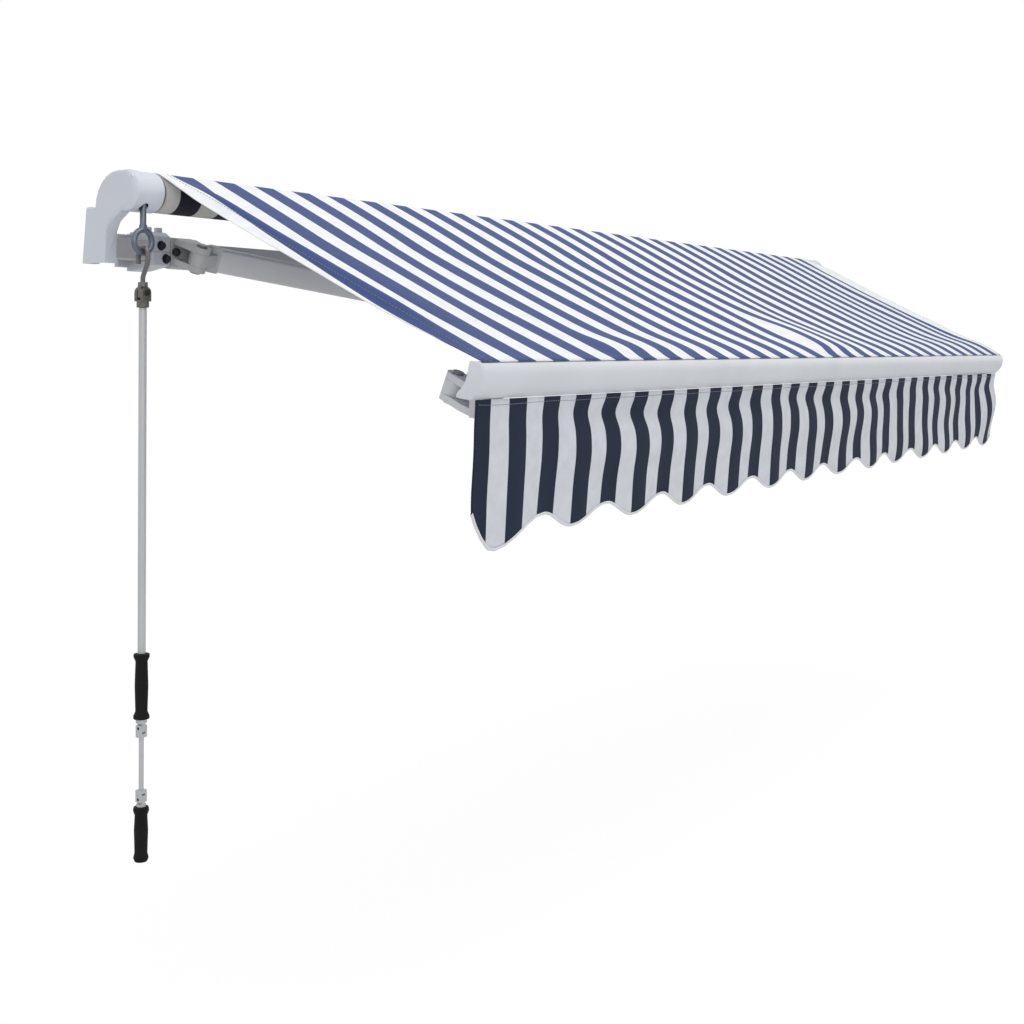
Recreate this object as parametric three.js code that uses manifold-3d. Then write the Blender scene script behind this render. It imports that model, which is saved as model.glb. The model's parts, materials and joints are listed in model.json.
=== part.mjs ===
// Folding-arm canvas awning, part open, with its frame and without the wall.
// Millimetres, +Z up. X runs along the roller, the wall plane is Y = 0 and the front looks to -Y.
// Z = 0 is the axis of the square torsion bar.
import * as THREE from 'three';
import Module from 'manifold-3d';

const wasm = await Module();
wasm.setup();

// Driving dimensions
const GAP = 0.3;
const BAR_SIZE = 34;
const BAR_WALL = 3;
const BAR_Y = -38;
const ROLLER_Y = -100;
const ROLLER_Z = 90;
const TUBE_R = 25;
const TUBE_WALL = 1.6;
const ROLL_R = 32;
const CLOTH_HALF = 1430;
const CLOTH_TAPER = 34;
const COVER_R = 33.5;
const COVER_WALL = 2.5;
const COVER_CLEAR = 7;
const COVER_REACH = 61;
const LEG_W = 24;
const LEG_BOTTOM = -26;
const LEG_LEDGE = 67;
const BAR_INSET = 7;
const PLATE_INSET = 11;
const PLATE_T = 5;
const WORM_INSET = 17;
const WORM_Y = -118;
const EYE_Z = 8;
const EYE_R = 19;
const EYE_WIRE = 5;
const WALL_ASIDE = 54;
const WALL_W = 40;
const WALL_PLATE = 94;
const SHOULDER_INSET = 108;
const SHOULDER_Y = -96;
const SHOULDER_Z = -12;
const FRONT_Y = -630;
const FRONT_Z = -222;
const LINK = 700;
const ARM_V = 20;
const ARM_W = 26;
const ARM_H = 44;
const LUG_R = 17;
const LUG_IN = 11;
const PIN_R = 6;
const FRONT_MARGIN = 2;
const FRONT_TOP = -184;
const FRONT_FACE = -736;
const FRONT_TILT = 7;
const VAL_INSET_L = 8;
const VAL_INSET_R = 3;
const NOTCH_IN = 15;
const VAL_HANG = 53.6;
const VAL_LOW = -449;
const VAL_NOTCH = 26;
const VAL_CORNER = 50;
const VAL_SET = 20;
const VAL_T = 1.6;
const STRIPE = 100;
const CANOPY_T = 1.4;
const CANOPY_SAG = 9;
const KNUCKLE_Z = -75;
const ROD_R = 6.5;
const ROD_END = -659;
const GRIP_END = -768;
const ARM_END = -893;
const CRANK_END = -996;

// Places along X that follow from the cloth's width: covers, plates and bar at the ends, brackets and
// shoulders beside each other, and the front bar with its valance a little narrower than the roll
const COVER_IN = CLOTH_HALF + COVER_CLEAR;
const LEG_OUT = COVER_IN + COVER_REACH;
const PLATE_X = LEG_OUT - PLATE_INSET;
const BAR_HALF = LEG_OUT - BAR_INSET;
const WORM_X = WORM_INSET - PLATE_X;
const SHOULDER_X = CLOTH_HALF - SHOULDER_INSET;
const WALL_X = SHOULDER_X + WALL_ASIDE;
const CLOTH_FRONT = CLOTH_HALF - CLOTH_TAPER;
const FRONT_HALF = CLOTH_FRONT + FRONT_MARGIN;
const VAL_X0 = VAL_INSET_L - FRONT_HALF;
const VAL_X1 = FRONT_HALF - VAL_INSET_R;
const NOTCH_X = VAL_X0 + NOTCH_IN;

// The valance hangs from the groove in the front bar's underside
const VAL_Y = FRONT_FACE + VAL_SET;
const VAL_TOP = FRONT_TOP - VAL_HANG;

// Slope of the plane that the arms swing in, and the rest angle of the arms in it
const reachY = SHOULDER_Y - FRONT_Y;
const reachZ = SHOULDER_Z - FRONT_Z;
const REACH = Math.hypot(reachY, reachZ);
const THETA = Math.acos(REACH / (2 * LINK));
const forward = new THREE.Vector3(0, -reachY / REACH, -reachZ / REACH);
const upward = new THREE.Vector3(0, -reachZ / REACH, reachY / REACH);
const across = new THREE.Vector3(1, 0, 0);

const solids = new Map();

// Solids and how they are joined
function toSolid(geometry) {
  let g = geometry.index ? geometry.toNonIndexed() : geometry;
  g = g.clone();
  g.deleteAttribute('normal');
  g.deleteAttribute('uv');
  g = mergeClose(g);
  const mesh = new wasm.Mesh({
    numProp: 3,
    vertProperties: new Float32Array(g.attributes.position.array),
    triVerts: new Uint32Array(g.index.array),
  });
  return new wasm.Manifold(mesh);
}

function mergeClose(g) {
  const src = g.attributes.position;
  const seen = new Map();
  const points = [];
  const index = [];
  for (let i = 0; i < src.count; i += 3) {
    const tri = [];
    for (let k = 0; k < 3; k++) {
      const x = src.getX(i + k);
      const y = src.getY(i + k);
      const z = src.getZ(i + k);
      const key = `${Math.round(x * 1e4)},${Math.round(y * 1e4)},${Math.round(z * 1e4)}`;
      if (!seen.has(key)) {
        seen.set(key, points.length / 3);
        points.push(x, y, z);
      }
      tri.push(seen.get(key));
    }
    if (tri[0] !== tri[1] && tri[1] !== tri[2] && tri[0] !== tri[2]) index.push(...tri);
  }
  const out = new THREE.BufferGeometry();
  out.setAttribute('position', new THREE.Float32BufferAttribute(points, 3));
  out.setIndex(index);
  return out;
}

function toGeometry(solid) {
  const mesh = solid.getMesh();
  const g = new THREE.BufferGeometry();
  const points = [];
  for (let i = 0; i < mesh.vertProperties.length; i += mesh.numProp) {
    points.push(mesh.vertProperties[i], mesh.vertProperties[i + 1], mesh.vertProperties[i + 2]);
  }
  g.setAttribute('position', new THREE.Float32BufferAttribute(points, 3));
  g.setIndex(Array.from(mesh.triVerts));
  return g;
}

function flipFaces(g) {
  const idx = g.index.array;
  for (let i = 0; i < idx.length; i += 3) {
    const hold = idx[i + 1];
    idx[i + 1] = idx[i + 2];
    idx[i + 2] = hold;
  }
  return g;
}

const join = (...list) => list.reduce((a, b) => a.add(b));
const cut = (a, ...list) => list.reduce((r, b) => r.subtract(b), a);

function box(x0, x1, y0, y1, z0, z1) {
  const g = new THREE.BoxGeometry(Math.abs(x1 - x0), Math.abs(y1 - y0), Math.abs(z1 - z0));
  g.translate((x0 + x1) / 2, (y0 + y1) / 2, (z0 + z1) / 2);
  return toSolid(g);
}

function rod(p0, p1, r, seg = 24, r2 = r) {
  const a = new THREE.Vector3(...p0);
  const b = new THREE.Vector3(...p1);
  const g = new THREE.CylinderGeometry(r2, r, a.distanceTo(b), seg, 1, false);
  g.rotateX(Math.PI / 2);
  const dir = b.clone().sub(a).normalize();
  const q = new THREE.Quaternion().setFromUnitVectors(new THREE.Vector3(0, 0, 1), dir);
  g.applyQuaternion(q);
  g.translate((a.x + b.x) / 2, (a.y + b.y) / 2, (a.z + b.z) / 2);
  return toSolid(g);
}

// A turned solid: profile of [radius, height] pairs on both axis ends, about the line from p along dir
function turned(profile, p, dir, seg = 28) {
  const pts = profile.map((v) => new THREE.Vector2(v[0], v[1]));
  const g = new THREE.LatheGeometry(pts, seg);
  g.rotateX(Math.PI / 2);
  const q = new THREE.Quaternion().setFromUnitVectors(
    new THREE.Vector3(0, 0, 1), new THREE.Vector3(...dir).normalize());
  g.applyQuaternion(q);
  g.translate(...p);
  return fixed(g);
}

// Turns the faces out where a closed outline was drawn the other way round
function fixed(g) {
  const plain = mergeClose(g.index ? g.toNonIndexed() : g);
  if (volume(plain) < 0) flipFaces(plain);
  return toSolid(plain);
}

function volume(g) {
  const p = g.attributes.position;
  const idx = g.index.array;
  let sum = 0;
  const a = new THREE.Vector3();
  const b = new THREE.Vector3();
  const c = new THREE.Vector3();
  for (let i = 0; i < idx.length; i += 3) {
    a.fromBufferAttribute(p, idx[i]);
    b.fromBufferAttribute(p, idx[i + 1]);
    c.fromBufferAttribute(p, idx[i + 2]);
    sum += a.dot(b.cross(c)) / 6;
  }
  return sum;
}

// Outline of [u, v] pairs pushed along w between w0 and w1, placed by a basis and an origin
function slab(outline, w0, w1, basis) {
  const shape = new THREE.Shape(outline.map((v) => new THREE.Vector2(v[0], v[1])));
  const g = new THREE.ExtrudeGeometry(shape, { depth: w1 - w0, bevelEnabled: false, steps: 1 });
  g.translate(0, 0, w0);
  g.applyMatrix4(basis);
  return fixed(g);
}

// Profile of [y, z] pairs along X
const alongX = new THREE.Matrix4().makeBasis(
  new THREE.Vector3(0, 1, 0), new THREE.Vector3(0, 0, 1), new THREE.Vector3(1, 0, 0));

function basisAt(u, v, w, o) {
  const m = new THREE.Matrix4().makeBasis(u, v, w);
  m.setPosition(o);
  return m;
}

function arc(cx, cy, r, a0, a1, n) {
  const pts = [];
  for (let i = 0; i <= n; i++) {
    const a = (a0 + (a1 - a0) * (i / n)) * (Math.PI / 180);
    pts.push([cx + r * Math.cos(a), cy + r * Math.sin(a)]);
  }
  return pts;
}

// Convex outline around a set of points
function around(points) {
  const pts = [...points].sort((a, b) => a[0] - b[0] || a[1] - b[1]);
  const side = (list) => {
    const out = [];
    for (const p of list) {
      while (out.length > 1) {
        const a = out[out.length - 2];
        const b = out[out.length - 1];
        if ((b[0] - a[0]) * (p[1] - a[1]) - (b[1] - a[1]) * (p[0] - a[0]) > 1e-9) break;
        out.pop();
      }
      out.push(p);
    }
    out.pop();
    return out;
  };
  return [...side(pts), ...side(pts.reverse())];
}

// Rings of equal length skinned into a closed tube; the last ring meets the first when looped
function skin(rings, looped) {
  const n = rings[0].length;
  const points = rings.flat(2);
  const index = [];
  const rows = looped ? rings.length : rings.length - 1;
  for (let i = 0; i < rows; i++) {
    const next = (i + 1) % rings.length;
    for (let k = 0; k < n; k++) {
      const k2 = (k + 1) % n;
      index.push(i * n + k, i * n + k2, next * n + k2);
      index.push(i * n + k, next * n + k2, next * n + k);
    }
  }
  if (!looped) {
    const last = (rings.length - 1) * n;
    for (let k = 1; k < n - 1; k++) {
      index.push(0, k + 1, k);
      index.push(last, last + k, last + k + 1);
    }
  }
  const g = new THREE.BufferGeometry();
  g.setAttribute('position', new THREE.Float32BufferAttribute(points, 3));
  g.setIndex(index);
  if (volume(g) < 0) flipFaces(g);
  return toSolid(g);
}

// A round bar along a smooth path
function wire(points, r, seg = 12, steps = 24) {
  const curve = new THREE.CatmullRomCurve3(points.map((p) => new THREE.Vector3(...p)));
  const g = new THREE.TubeGeometry(curve, steps, r, seg, false);
  const frames = curve.computeFrenetFrames(steps, false);
  const rings = [];
  for (let i = 0; i <= steps; i++) {
    const c = curve.getPointAt(i / steps);
    const ring = [];
    for (let k = 0; k < seg; k++) {
      const a = (k / seg) * Math.PI * 2;
      const v = c.clone()
        .addScaledVector(frames.normals[i], r * Math.cos(a))
        .addScaledVector(frames.binormals[i], r * Math.sin(a));
      ring.push([v.x, v.y, v.z]);
    }
    rings.push(ring);
  }
  g.dispose();
  return skin(rings, false);
}

function add(name, solid) {
  solids.set(name, solid);
}

function mirrored(solid) {
  const g = toGeometry(solid);
  g.scale(-1, 1, 1);
  return toSolid(flipFaces(g));
}

// The same piece on the left and, mirrored, on the right
function addPair(name, solid) {
  add(`${name}_l`, solid);
  add(`${name}_r`, mirrored(solid));
}

// Torsion bar: a hollow square bar that carries everything
const half = BAR_SIZE / 2;
add('torsion_bar', cut(
  box(-BAR_HALF, BAR_HALF, BAR_Y - half, BAR_Y + half, -half, half),
  box(-BAR_HALF - 5, BAR_HALF + 5, BAR_Y - half + BAR_WALL, BAR_Y + half - BAR_WALL,
    -half + BAR_WALL, half - BAR_WALL)));

// Wall brackets: plate, lower jaw with a lip, screw holes; the top keeper carries two bolt heads
const jawY = BAR_Y - half;
const wallL = -WALL_X - WALL_W / 2;
const wallR = -WALL_X + WALL_W / 2;
const wallProfile = [
  [0, -34], [0, 30], [-8, 30], [-8, half + 6],
  [BAR_Y + half + GAP, half + 6], [BAR_Y + half + GAP, -half - GAP],
  [jawY - GAP, -half - GAP], [jawY - GAP, -2], [jawY - 8, -2], [jawY - 8, -half - 8],
  [-20, -half - 16], [-8, -34],
];
let wallBracket = join(slab(wallProfile, wallL, wallR, alongX),
  box(-WALL_X - WALL_PLATE / 2, -WALL_X + WALL_PLATE / 2, -8, 0, -28, 28));
for (const dx of [-36, 36]) {
  wallBracket = cut(wallBracket, rod([-WALL_X + dx, 2, 0], [-WALL_X + dx, -12, 0], 5.5, 20));
}
addPair('wall_bracket', wallBracket);
const keeperTop = half + 15;
const keeper = join(
  slab([
    [-8 - GAP, half + 6 + GAP], [-8 - GAP, keeperTop], [jawY + 4, keeperTop], [jawY - 8, keeperTop - 8],
    [jawY - 8, -2 + GAP], [jawY - GAP, -2 + GAP], [jawY - GAP, half + GAP],
    [BAR_Y + half, half + GAP], [BAR_Y + half, half + 6 + GAP],
  ], wallL, wallR, alongX),
  rod([-WALL_X - 12, -42, keeperTop - 1], [-WALL_X - 12, -42, keeperTop + 8], 7, 6),
  rod([-WALL_X + 12, -42, keeperTop - 1], [-WALL_X + 12, -42, keeperTop + 8], 7, 6));
addPair('bracket_keeper', keeper);

// Roller arms: steel plates on the ends of the torsion bar that hold the roller
const armPlate = cut(
  slab([
    [BAR_Y + 19.5, -20], [BAR_Y + 19.5, 20], [-34, 44], [-52, 62],
    ...arc(ROLLER_Y, ROLLER_Z, 12, 20, 190, 14), [-106, 76], [-86, 58], [-60, 38],
    [BAR_Y - 19.3, 20], [BAR_Y - 19.3, -20],
  ], -PLATE_X - PLATE_T, -PLATE_X, alongX),
  box(-PLATE_X - 10, -PLATE_X + 10, BAR_Y - half - GAP, BAR_Y + half + GAP, -half - GAP, half + GAP));
add('roller_arm_l', armPlate);
const idler = rod([PLATE_X + 2, ROLLER_Y, ROLLER_Z], [COVER_IN + 1 + GAP, ROLLER_Y, ROLLER_Z], 8, 24);
const idlerBoss = rod([PLATE_X + 2, ROLLER_Y, ROLLER_Z], [PLATE_X - 22, ROLLER_Y, ROLLER_Z], 17, 24);
add('roller_arm_r', join(mirrored(armPlate), idler, idlerBoss));

// End covers: a curved leg from the torsion bar up to a round collar over the roller's end, hollow
function coverProfile(inset) {
  const rise = [];
  for (let i = 0; i <= 6; i++) {
    const a = (i / 6) * (Math.PI / 2);
    rise.push([
      ROLLER_Y + 14 + 52 * Math.cos(a) - inset * Math.cos(a),
      LEG_LEDGE - 4 + (ROLLER_Z + COVER_R - LEG_LEDGE + 4) * Math.sin(a) - inset * Math.sin(a),
    ]);
  }
  return [
    [-60 + inset, LEG_BOTTOM - (inset ? 5 : 0)], [-7 - inset, LEG_BOTTOM - (inset ? 5 : 0)],
    [-16 - inset, LEG_LEDGE - inset], [-24 - inset, LEG_LEDGE - inset],
    ...rise,
    [ROLLER_Y - 10, ROLLER_Z + COVER_R - inset], [ROLLER_Y - 22, ROLLER_Z + 20 - inset * 0.5],
    [ROLLER_Y - 16 + inset, ROLLER_Z], [ROLLER_Y - 8 + inset, 72], [ROLLER_Y + 8 + inset, 56],
    [ROLLER_Y + 27 + inset, 42], [-62 + inset, 26],
  ];
}
function round(x0, x1, r) {
  return rod([x0, ROLLER_Y, ROLLER_Z], [x1, ROLLER_Y, ROLLER_Z], r, 36);
}
const legIn = -LEG_OUT + LEG_W;
let cover = join(
  slab(coverProfile(0), -LEG_OUT, legIn, alongX),
  round(-LEG_OUT + 5, -COVER_IN, COVER_R),
  rod([-LEG_OUT, ROLLER_Y, ROLLER_Z], [-LEG_OUT + 5, ROLLER_Y, ROLLER_Z], COVER_R - 5, 36, COVER_R));
cover = cut(cover,
  slab(coverProfile(COVER_WALL), -LEG_OUT + COVER_WALL, legIn - COVER_WALL, alongX),
  round(-LEG_OUT + 4, -COVER_IN + 5, COVER_R - COVER_WALL),
  box(-LEG_OUT + 10, legIn + 5, BAR_Y - half - GAP, BAR_Y + half + GAP, LEG_BOTTOM - 4, half + GAP));
add('end_cover_r', mirrored(cover));
cover = cut(cover, rod([WORM_X, WORM_Y, 85], [WORM_X, WORM_Y, 40], 8.5, 24));
add('end_cover_l', cover);

// Worm gear in the left cover: housing on the plate, wheel on the roller, worm with its eye
const housingIn = WORM_X + 16;
const housingOut = -PLATE_X + 4;
const housingR = 27.5;
let housing = join(
  rod([housingOut, ROLLER_Y, ROLLER_Z], [housingIn, ROLLER_Y, ROLLER_Z], housingR, 28),
  rod([-PLATE_X + GAP, ROLLER_Y, ROLLER_Z], [housingOut + 1, ROLLER_Y, ROLLER_Z], 12, 20));
housing = cut(housing,
  rod([housingOut + 2.5, ROLLER_Y, ROLLER_Z], [housingIn - 3, ROLLER_Y, ROLLER_Z], housingR - 2.2, 28),
  rod([housingOut + 8, ROLLER_Y, ROLLER_Z], [housingIn + 5, ROLLER_Y, ROLLER_Z], 8.5, 20),
  rod([WORM_X, WORM_Y, ROLLER_Z + 9.5], [WORM_X, WORM_Y, ROLLER_Z - 9.5], 6.7, 20),
  rod([WORM_X, WORM_Y, 85], [WORM_X, WORM_Y, 40], 5.6, 20));
add('gear_housing', housing);
const teeth = 18;
const wheelR = 11.4;
const wheelOutline = [];
for (let i = 0; i < teeth; i++) {
  const step = 360 / teeth;
  const marks = [[0.1, wheelR - 1.2], [0.3, wheelR], [0.6, wheelR], [0.8, wheelR - 1.2]];
  for (const [t, r] of marks) {
    const a = ((i + t) * step * Math.PI) / 180;
    wheelOutline.push([ROLLER_Y + r * Math.cos(a), ROLLER_Z + r * Math.sin(a)]);
  }
}
add('gear_wheel', join(
  slab(wheelOutline, WORM_X - 7, WORM_X + 7, alongX),
  rod([WORM_X, ROLLER_Y, ROLLER_Z], [-COVER_IN - 1 - GAP, ROLLER_Y, ROLLER_Z], 8, 24)));
const wormProfile = [[0, ROLLER_Z + 9], [4.5, ROLLER_Z + 9]];
for (let i = 0; i < 3; i++) {
  const z = ROLLER_Z + 6 - i * 6;
  wormProfile.push([4.5, z + 1.6], [6.2, z + 0.8], [6.2, z - 0.8], [4.5, z - 1.6]);
}
wormProfile.push([4.5, ROLLER_Z - 9], [5.2, ROLLER_Z - 9], [5.2, EYE_Z + EYE_R + 8]);
wormProfile.push([6.5, EYE_Z + EYE_R + 8], [6.5, EYE_Z + EYE_R], [0, EYE_Z + EYE_R]);
const wormShaft = turned(wormProfile.map((v) => [v[0], v[1]]), [WORM_X, WORM_Y, 0], [0, 0, 1], 16);
const eyeGeometry = new THREE.TorusGeometry(EYE_R, EYE_WIRE, 10, 24);
eyeGeometry.rotateX(Math.PI / 2);
eyeGeometry.translate(WORM_X, WORM_Y, EYE_Z);
add('worm_eye', join(wormShaft, fixed(eyeGeometry)));

// Roller: tube, end plugs and the cloth wound on it
const tubeHalf = CLOTH_HALF + 2;
add('roller_tube', cut(
  rod([-tubeHalf, ROLLER_Y, ROLLER_Z], [tubeHalf, ROLLER_Y, ROLLER_Z], TUBE_R, 28),
  rod([-tubeHalf - 2, ROLLER_Y, ROLLER_Z], [tubeHalf + 2, ROLLER_Y, ROLLER_Z], TUBE_R - TUBE_WALL, 28)));
const plug = join(
  rod([-COVER_IN - 1, ROLLER_Y, ROLLER_Z], [-tubeHalf - GAP, ROLLER_Y, ROLLER_Z], TUBE_R + 2, 24),
  rod([-tubeHalf - 1, ROLLER_Y, ROLLER_Z], [-tubeHalf + 30, ROLLER_Y, ROLLER_Z],
    TUBE_R - TUBE_WALL - GAP, 24));
addPair('roller_plug', plug);
add('cloth_roll', cut(
  rod([-CLOTH_HALF, ROLLER_Y, ROLLER_Z], [CLOTH_HALF, ROLLER_Y, ROLLER_Z], ROLL_R, 32),
  rod([-CLOTH_HALF - 2, ROLLER_Y, ROLLER_Z], [CLOTH_HALF + 2, ROLLER_Y, ROLLER_Z], TUBE_R + GAP, 32)));

// Shoulders: clamp block on the torsion bar with a fork in the arm plane
const shoulder = new THREE.Vector3(-SHOULDER_X, SHOULDER_Y, SHOULDER_Z);
const armPlane = basisAt(across.clone().negate(), forward.clone(), upward.clone().negate(), shoulder);
const flatPlane = basisAt(across.clone(), forward.clone().negate(), upward.clone(), shoulder);
const blockL = -SHOULDER_X - 33;
const blockR = -SHOULDER_X + 21;
const blockFront = BAR_Y - half - 9;
const clamp = cut(
  slab([
    [BAR_Y + half + 7, -half - 7], [BAR_Y + half + 7, half + 7], [blockFront + 5, half + 7],
    [blockFront, half], [blockFront, -half - 9], [blockFront + 6, -half - 13], [BAR_Y, -half - 9],
  ], blockL, blockR, alongX),
  box(blockL - 2, blockR + 2, BAR_Y - half - GAP, BAR_Y + half + GAP, -half - GAP, half + GAP));
function lug(w0, w1) {
  return slab(around([
    ...arc(0, 0, LUG_R, 180, 360, 8),
    [-LUG_R, 0], [LUG_R, 0], [-26, 34], [20, 34], [-26, 38], [20, 38],
  ]), w0, w1, flatPlane);
}
const fork = join(lug(LUG_IN + GAP, ARM_H / 2), lug(-ARM_H / 2, -LUG_IN - GAP));
const keepFront = box(blockL, blockR, BAR_Y - half - 3, -400, -200, 200);
const heel = slab([
  [blockFront + 3, half], [blockFront + 3, -half - 9], [blockFront - 2, -half - 9],
  [blockFront - 2, half],
], blockL + 17, blockR - 4, alongX);
const pivotHole = (at, r) => {
  const a = at.clone().addScaledVector(upward, 60);
  const b = at.clone().addScaledVector(upward, -60);
  return rod([a.x, a.y, a.z], [b.x, b.y, b.z], r, 16);
};
const shoulderBase = cut(join(clamp, heel, fork.intersect(keepFront)), pivotHole(shoulder, PIN_R + GAP));
addPair('shoulder_base', shoulderBase);
function pinAt(at, reach) {
  const o = at.clone().addScaledVector(upward, -reach - 4);
  const total = reach * 2 + 8;
  const head = 3.7;
  return turned([
    [0, 0], [9, 0], [9, head], [PIN_R, head], [PIN_R, total - head], [9, total - head], [9, total], [0, total],
  ], [o.x, o.y, o.z], [upward.x, upward.y, upward.z], 16);
}
addPair('shoulder_pin', pinAt(shoulder, ARM_H / 2));

// Tilt bolt of the shoulder, seen from the front beside the fork
const boltTop = new THREE.Vector3(blockL + 8.3, blockFront - GAP, -1);
addPair('tilt_bolt', join(
  rod([boltTop.x, boltTop.y, boltTop.z], [boltTop.x, boltTop.y - 7, boltTop.z], 7.5, 6),
  rod([boltTop.x, boltTop.y - 6, boltTop.z], [boltTop.x, boltTop.y - 11, boltTop.z], 4, 16)));

// Arms: castings at both ends of a hollow tube that stands off to one side of the pivot line
const link1 = across.clone().multiplyScalar(Math.sin(THETA)).addScaledVector(forward, Math.cos(THETA));
const off1 = across.clone().multiplyScalar(Math.cos(THETA)).addScaledVector(forward, -Math.sin(THETA));
const upperArm = basisAt(link1, off1, upward, shoulder);
const elbow = shoulder.clone().addScaledVector(link1, LINK);
const link2 = across.clone().multiplyScalar(-Math.sin(THETA)).addScaledVector(forward, Math.cos(THETA));
const off2 = across.clone().multiplyScalar(Math.cos(THETA)).addScaledVector(forward, Math.sin(THETA));
const foreArm = basisAt(link2, off2, upward, elbow);
const wrist = elbow.clone().addScaledVector(link2, LINK);
const tubeIn = 42;
const vLow = ARM_V - ARM_W / 2;
const vHigh = ARM_V + ARM_W / 2;
const roundBox = (v0, v1, w0, w1, r) => [
  ...arc(v1 - r, w1 - r, r, 0, 90, 2), ...arc(v0 + r, w1 - r, r, 90, 180, 2),
  ...arc(v0 + r, w0 + r, r, 180, 270, 2), ...arc(v1 - r, w0 + r, r, 270, 360, 2),
];

function armTube(basis) {
  const turn = basis.clone().multiply(new THREE.Matrix4().makeBasis(
    new THREE.Vector3(0, 1, 0), new THREE.Vector3(0, 0, 1), new THREE.Vector3(1, 0, 0)));
  const h = ARM_H / 2 - 1;
  return cut(
    slab(roundBox(vLow + 1, vHigh - 1, -h, h, 5), tubeIn, LINK - tubeIn, turn),
    slab(roundBox(vLow + 3.4, vHigh - 3.4, -h + 2.4, h - 2.4, 3), tubeIn - 2, LINK - tubeIn + 2, turn));
}

// End casting: tongue or fork at the pivot, a full-height socket block, and a spigot inside the tube
function armEnd(basis, flip, kind, at) {
  const place = (u) => (flip ? LINK - u : u);
  const outline = (list) => list.map(([u, v]) => [place(u), v]);
  const near = around([...arc(0, 0, LUG_R, 0, 360, 16), [30, vLow], [30, vHigh], [36, vLow], [36, vHigh]]);
  const body = [
    [24, vLow + 2], [tubeIn - GAP, vLow], [tubeIn - GAP, vHigh], [30, vHigh], [24, vHigh - 3],
  ];
  const h = ARM_H / 2;
  const parts = [slab(outline(body), -h, h, basis)];
  if (kind === 'tongue') {
    parts.push(slab(outline(near), -LUG_IN, LUG_IN, basis));
  } else {
    parts.push(slab(outline(near), LUG_IN + GAP, h, basis));
    parts.push(slab(outline(near), -h, -LUG_IN - GAP, basis));
  }
  const s0 = place(tubeIn - 4);
  const s1 = place(tubeIn + 26);
  const turn = basis.clone().multiply(new THREE.Matrix4().makeBasis(
    new THREE.Vector3(0, 1, 0), new THREE.Vector3(0, 0, 1), new THREE.Vector3(1, 0, 0)));
  parts.push(slab(roundBox(vLow + 3.8, vHigh - 3.8, -h + 3.8, h - 3.8, 2.6),
    Math.min(s0, s1), Math.max(s0, s1), turn));
  return cut(join(...parts), pivotHole(at, PIN_R + GAP));
}
addPair('upper_tube', armTube(upperArm));
addPair('upper_root', armEnd(upperArm, false, 'tongue', shoulder));
addPair('upper_elbow', armEnd(upperArm, true, 'fork', elbow));
addPair('elbow_pin', pinAt(elbow, ARM_H / 2));
addPair('fore_tube', armTube(foreArm));
addPair('fore_elbow', armEnd(foreArm, false, 'tongue', elbow));
addPair('fore_front', armEnd(foreArm, true, 'tongue', wrist));

// Front bar: hollow profile, convex face, rear side flaring to a foot; cheeks close its ends
const faceY = FRONT_FACE;
const tiltSin = Math.sin((FRONT_TILT * Math.PI) / 180);
const tiltCos = Math.cos((FRONT_TILT * Math.PI) / 180);
const tilted = (list) => list.map(([y, z]) => [
  faceY + y * tiltCos - z * tiltSin, FRONT_TOP + z * tiltCos + y * tiltSin,
]);
const frontProfile = tilted([
  [5, 0], [1.5, -4], [-1.5, -12], [-2, -22], [-0.5, -33], [3, -44], [6.5, -52], [9, -55],
  [38, -55], [40, -52], [39, -47], [32, -40], [27, -31], [24, -18], [23, -4], [20, 0],
]);
const frontCore = tilted([
  [7, -3], [2, -12], [1.5, -22], [3, -32], [7, -43], [11, -51.8],
  [34, -51.8], [29, -43.5], [24.5, -33.5], [21, -20], [19.8, -3],
]);
add('front_bar', cut(
  slab(frontProfile, -FRONT_HALF, FRONT_HALF, alongX),
  slab(frontCore, -FRONT_HALF - 2, FRONT_HALF + 2, alongX)));
const capOutline = frontProfile.map(([y, z]) => [
  y + (y < faceY + 18 ? -1.2 : 1.2), z + (z > FRONT_TOP - 28 ? 1.2 : -1.2),
]);
const capCore = frontCore.map(([y, z]) => [
  y + (y < faceY + 20 ? 0.8 : -0.8), z + (z > FRONT_TOP - 28 ? -0.8 : 0.8),
]);
addPair('front_cap', join(
  slab(capOutline, -FRONT_HALF - 4 - GAP, -FRONT_HALF - GAP, alongX),
  slab(capCore, -FRONT_HALF - 2, -FRONT_HALF + 18, alongX)));

// Front brackets: foot on the rear of the front bar and a fork around the forearm's end
const frontFlat = basisAt(across.clone(), forward.clone(), upward.clone(), wrist);
function frontLug(w0, w1) {
  return slab(around([
    ...arc(0, 0, LUG_R, 180, 360, 8), [-LUG_R, 0], [LUG_R, 0],
    [-26, 36], [26, 36], [-26, 70], [26, 70],
  ]), w0, w1, frontFlat);
}
const barRoom = [[0.4, 0], [-0.4, 0], [0, 0.4], [0, -0.4]].map(([dy, dz]) => slab(
  frontProfile.map(([y, z]) => [y + dy, z + dz]), -SHOULDER_X - 100, -SHOULDER_X + 100, alongX));
const frontKeep = box(-SHOULDER_X - 100, -SHOULDER_X + 100, faceY + 33, FRONT_Y + 130,
  FRONT_TOP - 116, FRONT_TOP + 34);
const frontFoot = slab([
  [faceY + 27, FRONT_TOP - 8], [faceY + 38, FRONT_TOP - 8], [faceY + 60, FRONT_TOP - 30],
  [faceY + 60, FRONT_TOP - 82], [faceY + 38, FRONT_TOP - 82], [faceY + 33, FRONT_TOP - 72],
  [faceY + 33, FRONT_TOP - 40],
], -SHOULDER_X - 26, -SHOULDER_X + 26, alongX);
const frontFork = join(frontLug(LUG_IN + GAP, ARM_H / 2), frontLug(-ARM_H / 2, -LUG_IN - GAP));
addPair('front_bracket', cut(
  join(frontFork.intersect(frontKeep), frontFoot), ...barRoom, pivotHole(wrist, PIN_R + GAP)));
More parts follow.
